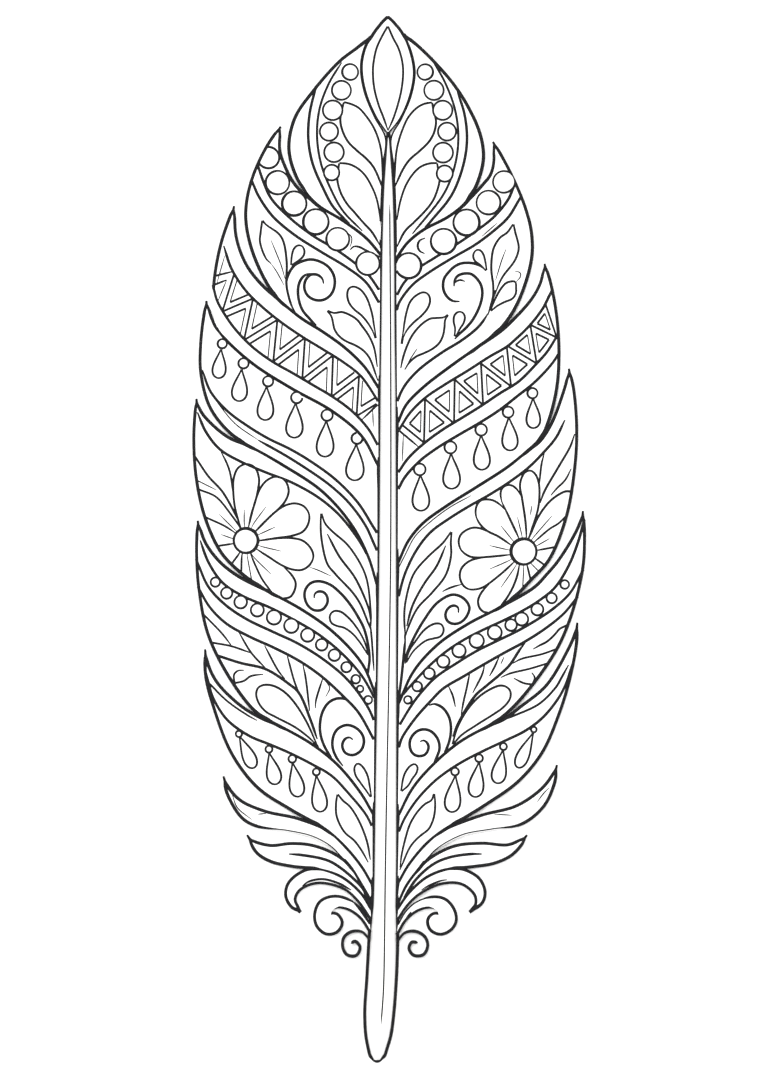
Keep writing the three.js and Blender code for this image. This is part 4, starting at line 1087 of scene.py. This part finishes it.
def ink_line(bm, tree, line, width, rise, shut=False, ends=(1, 1), circles=()):
    """Lays an ink line on the vane; what would lie beside the vane or inside a circle is left out."""
    heights = [height_on(tree, x, y) for x, y in line]
    kept = [height is not None for height in heights]
    for x, y, radius in circles:
        kept &= np.hypot(line[:, 0] - x, line[:, 1] - y) > radius - RING_OVERLAP
    if np.all(kept):
        tube(bm, line, np.array(heights), width, rise, shut, ends)
        return
    for start, stop in stretches(kept):
        shares = (ends[0] if start == 0 else 1, ends[1] if stop == len(line) else 1)
        tube(bm, line[start:stop], np.array(heights[start:stop], float), width, rise, ends=shares)


def carried(tree, line):
    """A line carried straight on at each end to the edge of its lock, if that is near, and the share of
    its width at each end: full at the edge, tapered where it stops on the vane."""
    shares = []
    for _ in ("start", "end"):
        line = line[::-1]
        along = (line[-1] - line[-3]) / np.linalg.norm(line[-1] - line[-3])
        ahead = line[-1] + np.arange(CARRY_STEP, CARRY_TO_QUILL, CARRY_STEP)[:, None] * along
        beyond = next((place for place, (x, y) in enumerate(ahead) if height_on(tree, x, y) is None), None)
        near = beyond is not None and (
            abs(ahead[beyond][0]) < QUILL_SIDE or beyond * CARRY_STEP < CARRY_TO_RIM)
        if near and beyond:
            line = np.vstack([line, ahead[:beyond][::-3][::-1]])
        shares.append(1 if near else LINE_TAPER)
    return line, shares


def rim(bm, patch, name):
    """The black outline of a lock along both of its edges."""
    outline, seam, hair = width_of("outline"), width_of("seam"), width_of("hair")
    rise = sizes().line_rise / MM * OUTLINE_RISE
    widths = np.maximum(patch.width(), 1e-3)
    for edge in (0, 1):
        free, bold = patch.free[edge], patch.bold[edge]
        inset = (RIM_REACH + HALF_GAP) * free - HALF_GAP + SEAM_INSET * (1 - bold)
        inset = np.clip(inset, 0, widths / 2)
        line = patch.top(inset / widths if edge == 0 else 1 - inset / widths)
        width = seam + (outline - seam) * bold
        kept = np.ones(len(line), bool)
        if edge and name in HAIR_EDGES:
            start, full = HAIR_EDGES[name]
            part = np.clip((np.abs(line[:, 0]) - start) / (full - start), 0, 1)
            width = np.where(free > 0, hair + (width - hair) * part, width)
        if edge and name in BARE_EDGES:
            low, high = BARE_EDGES[name]
            kept = (free == 0) | (line[:, 1] < low) | (line[:, 1] > high)
        for start, stop in stretches(kept):
            tube(bm, line[start:stop, :2], line[start:stop, 2], width[start:stop], rise,
                 ends=(1, LOCK_TIP_INK if patch.turned_up else 1), fade=LOCK_TIP_LENGTH)


def ornament(vane, ink, name):
    """Adds a lock's domes and pads to its vane, and draws its lines in ink."""
    motifs = {kind: [] for kind in MOTIFS} | ORNAMENT.get(name, {})
    eye = motifs.get("eye")
    ground = Ground(vane)
    rise, bead_rise, pad_rise = (
        height / MM for height in (sizes().line_rise, sizes().bead_rise, sizes().pad_rise))
    circles = motifs["beads"] + [ring for ring, *_ in motifs["drops"]] + ([eye] if eye else [])
    drops = [teardrop(*drop) for _, *drop in motifs["drops"]]
    outlines = [points + points[:1] for points in motifs["shut"]]
    petals = [points for points in motifs["fine"] if len(points) > PETAL_POINTS] if eye else []
    for x, y, radius in circles:
        dome(vane, ground, x, y, radius - RING_INSET, bead_rise * min(1, radius / FULL_BEAD))
    for first, second in motifs["leaves"]:
        pad(vane, ground, first, second, pad_rise)
    for points in outlines:
        pad(vane, ground, *halves(evenly(points, OUTLINE_STEPS)), pad_rise)
    for drop in drops:
        pad(vane, ground, *halves(drop), pad_rise)
    for points in petals:
        pad(vane, ground, *halves(evenly(points, OUTLINE_STEPS)), pad_rise)
    dressed = BVHTree.FromBMesh(vane)
    lines = [("main", points) for points in motifs["main"]]
    lines += [("bead", points) for points in motifs["fine"] if len(points) > SHORT_LINE]
    lines += [("fine", points) for points in motifs["fine"] if len(points) <= SHORT_LINE]
    lines += [("hair", points) for points in motifs["hair"]]
    for kind, points in lines:
        if eye and kind != "main":
            points = to_ring(points, *eye)
        line, ends = carried(ground.tree, drawn(points))
        ink_line(ink, dressed, line, width_of(kind), rise, ends=ends, circles=circles)
    for points in [points for pair in motifs["leaves"] for points in pair]:
        ink_line(ink, dressed, drawn(points), width_of("bead"), rise, ends=(1, LINE_TAPER), circles=circles)
    for points in outlines:
        ink_line(ink, dressed, drawn(points), width_of("bead"), rise, circles=circles)
    for drop in drops:
        ink_line(ink, dressed, drawn(drop), width_of("bead"), rise)
    for ring in circles:
        kind = "outline" if ring == eye else "main" if ring[2] > LARGE_BEAD else "bead"
        ink_line(ink, dressed, circle(*ring), width_of(kind), rise, shut=True)
    if "zigzag" in motifs:
        zigzag(ink, dressed, *motifs["zigzag"], nested=name == "lock_right_2")


def to_ring(points, x, y, radius):
    """A line whose ends near a ring are carried on to it."""
    points = [np.array(point, float) for point in points]
    middle = np.array([x, y])
    for end, place in ((points[0], 0), (points[-1], len(points) + 1)):
        away = np.linalg.norm(end - middle)
        if radius < away < radius + RING_REACH:
            points.insert(place, middle + (end - middle) / away * radius)
    return points


def zigzag(ink, tree, upper, lower, nested):
    """Uprights and diagonals between two rows of points. Each triangle between them holds a small
    triangle, or without nested the two sides of one that stands on the band's line."""
    rise = sizes().line_rise / MM
    upper, lower = np.array(upper, float), np.array(lower, float)

    def stroke(a, b, kind):
        steps = max(4, math.ceil(np.linalg.norm(b - a) / SPACING))
        ink_line(ink, tree, np.linspace(a, b, steps), width_of(kind), rise)

    triangles = []
    for place, foot in enumerate(lower):
        stroke(upper[place], foot, "fine")
        stroke(upper[place + 1], foot, "fine")
        triangles.append((upper[place], foot, upper[place + 1]))
        if place + 1 < len(lower):
            triangles.append((lower[place + 1], upper[place + 1], foot))
    for triangle in triangles:
        near, point, far = triangle
        centre = sum(triangle) / 3 if nested else (near + far) / 2
        share = NESTED_SHARE if nested else OPEN_SHARE
        near, point, far = (centre + (corner - centre) * share for corner in triangle)
        stroke(near, point, "hair")
        stroke(point, far, "fine")
        if nested:
            stroke(far, near, "fine")


def finish_piece(bm, name, finish, node=None):
    """Makes the object, in metres, with its material, body and slot; it stands for node."""
    bmesh.ops.recalc_face_normals(bm, faces=bm.faces)
    bmesh.ops.scale(bm, verts=bm.verts, vec=(MM, MM, MM))
    for face in bm.faces:
        face.smooth = True
    mesh = bpy.data.meshes.new(name)
    bm.to_mesh(mesh)
    bm.free()
    mesh.set_sharp_from_angle(angle=math.radians(SHARP_ANGLE))
    mesh.materials.append(material_of(finish))
    piece = bpy.data.objects.new(name, mesh)
    bpy.context.scene.collection.objects.link(piece)
    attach(piece, BODY)
    if node:
        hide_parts(node)


def dress(name, patch, columns=BODY_COLUMNS):
    """One lock: its vane, which stands for the solid, and its ink."""
    vane, ink = new_mesh(), new_mesh()
    lock_body(vane, patch, columns)
    rim(ink, patch, name)
    ornament(vane, ink, name)
    finish_piece(vane, name + "_vane", "vane", name)
    finish_piece(ink, name + "_ink", "ink")


# Materials


def add_node(tree, kind, **values):
    """A node with values for its sockets or, where it has no such socket, its settings."""
    node = tree.nodes.new(kind)
    for name, value in values.items():
        if name in node.inputs:
            node.inputs[name].default_value = value
        else:
            setattr(node, name, value)
    return node


def streaks(tree, source, scale, detail=3.0):
    """Noise stretched by a mapping: source is the socket that it reads."""
    mapping = add_node(tree, "ShaderNodeMapping", Scale=scale)
    noise = add_node(tree, "ShaderNodeTexNoise", Scale=1.0, Detail=detail, Roughness=0.55)
    tree.links.new(source, mapping.inputs["Vector"])
    tree.links.new(mapping.outputs["Vector"], noise.inputs["Vector"])
    return noise.outputs["Fac"]


def tinted(tree, shader, fac, low, high, start=0.35, end=0.7):
    """Colours a surface from low to high as fac goes from start to end."""
    ramp = add_node(tree, "ShaderNodeValToRGB")
    for element, position, tint in zip(ramp.color_ramp.elements, (start, end), (low, high)):
        element.position, element.color = position, (*tint, 1)
    tree.links.new(fac, ramp.inputs["Fac"])
    tree.links.new(ramp.outputs["Color"], shader.inputs["Base Color"])


def bumped(tree, shader, height, strength, distance):
    bump = add_node(tree, "ShaderNodeBump", Strength=strength, Distance=distance * MM)
    tree.links.new(height, bump.inputs["Height"])
    tree.links.new(bump.outputs["Normal"], shader.inputs["Normal"])


def glossed(shader, roughness, specular=0.5):
    shader.inputs["Roughness"].default_value = roughness
    shader.inputs["Specular IOR Level"].default_value = specular


def card_finish(tree, shader, colours):
    """White card with faint streaks along the barbs."""
    barb = add_node(tree, "ShaderNodeAttribute", attribute_name="barb")
    streak = streaks(tree, barb.outputs["Vector"], (0.05, 1.4, 1))
    tinted(tree, shader, streak, colours.grain, colours.card)
    glossed(shader, 0.62, 0.3)
    bumped(tree, shader, streak, 0.15, 0.1)


def quill_finish(tree, shader, colours):
    """Smooth off-white shaft with long faint streaks."""
    place = add_node(tree, "ShaderNodeTexCoord")
    streak = streaks(tree, place.outputs["Object"], (900, 18, 900))
    tinted(tree, shader, streak, [0.95 * value for value in colours.quill], colours.quill)
    glossed(shader, 0.45)
    bumped(tree, shader, streak, 0.15, 0.1)


def ink_finish(tree, shader, colours):
    """Satin black raised ink."""
    place = add_node(tree, "ShaderNodeTexCoord")
    mottle = streaks(tree, place.outputs["Object"], (700, 700, 700), 2.0)
    tinted(tree, shader, mottle, colours.ink, [1.7 * value for value in colours.ink])
    glossed(shader, 0.7, 0.12)
    bumped(tree, shader, mottle, 0.1, 0.05)


def floor_finish(tree, shader, colours):
    """Plain pale floor."""
    shader.inputs["Base Color"].default_value = (*colours.floor, 1)
    glossed(shader, 0.9, 0.1)


FINISHES = {
    "vane": ("barbed_card", card_finish),
    "quill": ("smooth_quill", quill_finish),
    "ink": ("raised_ink", ink_finish),
    "floor": ("pale_floor", floor_finish),
}


def material_of(slot):
    """The material of a slot, or of the floor, made when it is first asked for."""
    name, finish = FINISHES[slot]
    if name not in bpy.data.materials:
        material = bpy.data.materials.new(name)
        material.use_nodes = True
        tree = material.node_tree
        finish(tree, tree.nodes["Principled BSDF"], bpy.context.scene.feather_colours)
    return bpy.data.materials[name]


# Outlines of each piece

def quill_outline(bm):
    """The black line down both sides of the quill and round its foot, in one stroke."""
    (foot_y, foot_x, _, foot_height), top_y = QUILL[0], QUILL[-1][0]
    y = np.concatenate([[top_y + QUILL_TOP], np.linspace(top_y, foot_y + QUILL_BOTTOM, QUILL_OUTLINE_ROWS)])
    middle, half_width, height = quill_at(y)
    half_width[0] = 0                                     # both sides meet above the quill's tip
    bare = np.clip((BARE_FROM - y) / BARE_CHANGE, 0, 1)   # 0 beside the vane, 1 on the bare foot
    sides = []
    for side in (-1, 1):
        x = middle + side * (half_width + QUILL_INSET + BARE_INSET * bare)
        level = (1 - bare) * (vane_floor(x, y) + THICKNESS) + bare * height * BARE_LEVEL
        sides.append(np.column_stack([x, y, level]))
    ends = [[foot_x + side * across, foot_y + up, foot_height * BARE_LEVEL]
            for side, places in ((-1, FOOT_LINE[::-1]), (1, FOOT_LINE[1:])) for across, up in places]
    path = np.vstack([sides[0], ends, sides[1][::-1]])
    first, last = len(y) - FOOT_BLEND, len(y) + len(ends) + FOOT_BLEND
    path = np.vstack([path[:first], curve_points(path[first:last], FOOT_STEPS), path[last:]])
    bold = np.interp(path[:, 1], *QUILL_BOLD)
    tube(bm, path[:, :2], path[:, 2], width_of("outline") * bold, QUILL_INK_RISE)


def vane_patch(side, name):
    seams, locks = SEAMS[side], LOCKS[side]
    row = list(locks).index(name)
    (upper_foot, upper), (lower_foot, lower) = seams[row], seams[row + 1]
    leading, outer, tip = locks[name]
    if name not in KEEPS_FORK:
        upper = upper[:-1]
    return Patch(edge_line([on_quill(side, upper_foot), *upper, *leading, tip], len(upper), -side),
                 edge_line([on_quill(side, lower_foot), *lower, *outer, tip], len(lower), side))


def crown_patch(side):
    foot, seam = SEAMS[side][0]
    beside = [on_quill(side, y) for y in (foot + CROWN_FOOT, *CROWN_BESIDE_QUILL)]
    inner = [*beside, *CROWN_INNER[side], CROWN_PEAK[side]]
    outer = [on_quill(side, foot), *seam, *CROWN_OUTER[side], CROWN_PEAK[side]]
    return Patch(edge_line(inner, len(inner) - 1, -side), edge_line(outer, len(seam), side), turned_up=False)


def petal_patch():
    right, left = (
        edge_line([PETAL_FOOT[side], *CROWN_INNER[side], CROWN_PEAK[side], PETAL_SHOULDER[side], APEX],
                  len(CROWN_INNER[side]) + 1, side, steps=PETAL_STEPS)
        for side in (1, -1))
    return Patch(right, left, turned_up=False)


def curl_patch(side, name):
    """A curl between its back and its belly, whose ink is bolder than a seam's. The eyed curl's belly is
    much shorter than its back, so its rows are chosen from a finer line."""
    (foot, back), round_back, (belly_foot, belly), tip = CURLS[name]
    eyed = name.endswith("b")
    back_edge = edge_line([on_quill(side, foot), *back, *round_back, tip], len(back), -side, steps=HOOK_STEPS)
    belly_steps = HOOK_STEPS * HOOK_FINENESS if eyed else HOOK_STEPS
    belly_edge = edge_line([on_quill(side, belly_foot), *belly, tip], len(belly), side, steps=belly_steps)
    if eyed:
        ahead = np.round(np.linspace(0, 1, HOOK_STEPS + 1) ** HOOK_LEAD * belly_steps).astype(int)
        belly_edge = [part[ahead] for part in belly_edge]
    patch = Patch(back_edge, belly_edge, turned_up=False)
    patch.bold[1] = np.full(HOOK_STEPS + 1, CURL_BELLY_INK)
    return patch


def strand_patch(side, name):
    foot, points = STRANDS[name]
    line = [on_quill(side, foot), *points]
    left, right = (edge_line(line, 0, outward, strand_reach, HOOK_STEPS) for outward in (-side, side))
    return Patch(left, right, turned_up=False)


class FEATHER_OT_quill(bpy.types.Operator):
    """Make the straight quill with its black outline and a hair line down its middle"""

    bl_idname = "feather.quill"
    bl_label = "Quill"

    def execute(self, context):
        y = evenly([(station[0], 0) for station in QUILL], QUILL_ROWS)[:, 0]
        middle, half_width, height = quill_at(y)
        half = curve_points(QUILL_SECTION, 13)
        section = np.vstack([half, half[-2::-1] * (-1, 1)])
        shaft, ink = new_mesh(), new_mesh()
        for row, place, corner in cells(grid(shaft, QUILL_ROWS, len(section)), len(section)):
            across, up = section[place % len(section)]
            corner.co = (middle[row] + across * half_width[row], y[row], max(0, up) * height[row])
        bmesh.ops.remove_doubles(shaft, verts=shaft.verts, dist=1e-4)
        bmesh.ops.holes_fill(shaft, edges=[edge for edge in shaft.edges if edge.is_boundary])
        ink_line(ink, BVHTree.FromBMesh(shaft), drawn(QUILL_HAIR), width_of("fine") * QUILL_LINE,
                 sizes().line_rise / MM, ends=(QUILL_LINE_ENDS, QUILL_LINE_ENDS))
        quill_outline(ink)
        finish_piece(shaft, "quill_shaft", "quill", "quill")
        finish_piece(ink, "quill_ink", "ink")
        return {"FINISHED"}


class FEATHER_OT_crown(bpy.types.Operator):
    """Make the crown's two halves and the small petal at the tip"""

    bl_idname = "feather.crown"
    bl_label = "Crown"

    def execute(self, context):
        dress("tip_petal", petal_patch(), SMALL_COLUMNS)
        dress("crown_left", crown_patch(-1))
        dress("crown_right", crown_patch(1))
        return {"FINISHED"}


class FEATHER_OT_locks(bpy.types.Operator):
    """Make the pointed locks of one side of the vane, with their ornament"""

    bl_idname = "feather.locks"
    bl_label = "Locks"
    side: bpy.props.IntProperty(name="Side", description="-1 for the left side, 1 for the right", default=-1)

    def execute(self, context):
        for name in LOCKS[self.side]:
            if name.startswith("lock"):
                dress(name, vane_patch(self.side, name))
        return {"FINISHED"}


class FEATHER_OT_plumes(bpy.types.Operator):
    """Make the two small plumes on each side below the locks"""

    bl_idname = "feather.plumes"
    bl_label = "Plumes"

    def execute(self, context):
        for side, locks in LOCKS.items():
            for name in locks:
                if name.startswith("plume"):
                    dress(name, vane_patch(side, name), SMALL_COLUMNS)
        return {"FINISHED"}


class FEATHER_OT_curls(bpy.types.Operator):
    """Make the curls and the thin strands at the foot of the vane"""

    bl_idname = "feather.curls"
    bl_label = "Curls"

    def execute(self, context):
        for name in CURLS:
            dress(name, curl_patch(-1 if "left" in name else 1, name), CURL_COLUMNS)
        for name in STRANDS:
            strand = new_mesh()
            lock_body(strand, strand_patch(-1 if "left" in name else 1, name), STRAND_COLUMNS)
            finish_piece(strand, name + "_strand", "ink", name)
        return {"FINISHED"}


class FEATHER_OT_stage(bpy.types.Operator):
    """Set up the floor, the soft lights and the camera that looks straight down"""

    bl_idname = "feather.stage"
    bl_label = "Stage"

    def execute(self, context):
        scene = context.scene
        bm = bmesh.new()
        bmesh.ops.create_grid(bm, x_segments=1, y_segments=1, size=FLOOR_SIZE)
        mesh = bpy.data.meshes.new("floor")
        bm.to_mesh(mesh)
        bm.free()
        mesh.materials.append(material_of("floor"))
        floor = bpy.data.objects.new("floor", mesh)
        scene.collection.objects.link(floor)
        for name, place, size, power in LIGHTS:
            light = bpy.data.lights.new(name, "AREA")
            light.size, light.energy = size, power
            lamp = bpy.data.objects.new(name, light)
            lamp.location = place
            lamp.rotation_euler = (-Vector(place)).to_track_quat("-Z", "Y").to_euler()
            scene.collection.objects.link(lamp)
        world = bpy.data.worlds.new("studio")
        world.use_nodes = True
        background = world.node_tree.nodes["Background"]
        background.inputs["Color"].default_value = (1, 1, 1, 1)
        background.inputs["Strength"].default_value = SKY_STRENGTH
        scene.world = world
        scene.view_settings.view_transform = "Standard"
        camera = bpy.data.cameras.new("camera")
        camera.lens, camera.sensor_width = LENS, SENSOR
        camera.clip_start, camera.clip_end = 0.1, 10
        eye = bpy.data.objects.new("camera", camera)
        x, y = VIEW_MIDDLE
        eye.location = (x * MM, y * MM, HALF_VIEW * MM / (SENSOR / 2 / LENS) + LENS_LIFT * MM)
        scene.collection.objects.link(eye)
        scene.camera = eye
        return {"FINISHED"}


class FEATHER_PT_panel(bpy.types.Panel):
    """Lists the feather's pieces, sizes and colours"""

    bl_idname = "FEATHER_PT_panel"
    bl_label = "Ornamental feather"
    bl_space_type = "VIEW_3D"
    bl_region_type = "UI"
    bl_category = "Feather"

    def draw(self, context):
        for kind in OPERATORS:
            self.layout.operator(kind.bl_idname)
        for group in (context.scene.feather_sizes, context.scene.feather_colours):
            for name in group.__annotations__:
                self.layout.prop(group, name)


OPERATORS = (FEATHER_OT_quill, FEATHER_OT_crown, FEATHER_OT_locks, FEATHER_OT_plumes, FEATHER_OT_curls,
             FEATHER_OT_stage)
CLASSES = (FeatherSizes, FeatherColours, *OPERATORS, FEATHER_PT_panel)


def register():
    for kind in CLASSES:
        bpy.utils.register_class(kind)
    bpy.types.Scene.feather_sizes = bpy.props.PointerProperty(type=FeatherSizes)
    bpy.types.Scene.feather_colours = bpy.props.PointerProperty(type=FeatherColours)


def unregister():
    del bpy.types.Scene.feather_colours
    del bpy.types.Scene.feather_sizes
    for kind in reversed(CLASSES):
        bpy.utils.unregister_class(kind)


def main():
    for leftover in [thing for thing in bpy.data.objects if thing.type in ("LIGHT", "CAMERA")]:
        bpy.data.objects.remove(leftover)
    register()
    bpy.ops.feather.stage()
    bpy.ops.feather.quill()
    bpy.ops.feather.crown()
    bpy.ops.feather.locks(side=-1)
    bpy.ops.feather.locks(side=1)
    bpy.ops.feather.plumes()
    bpy.ops.feather.curls()


if __name__ == "__main__":
    main()
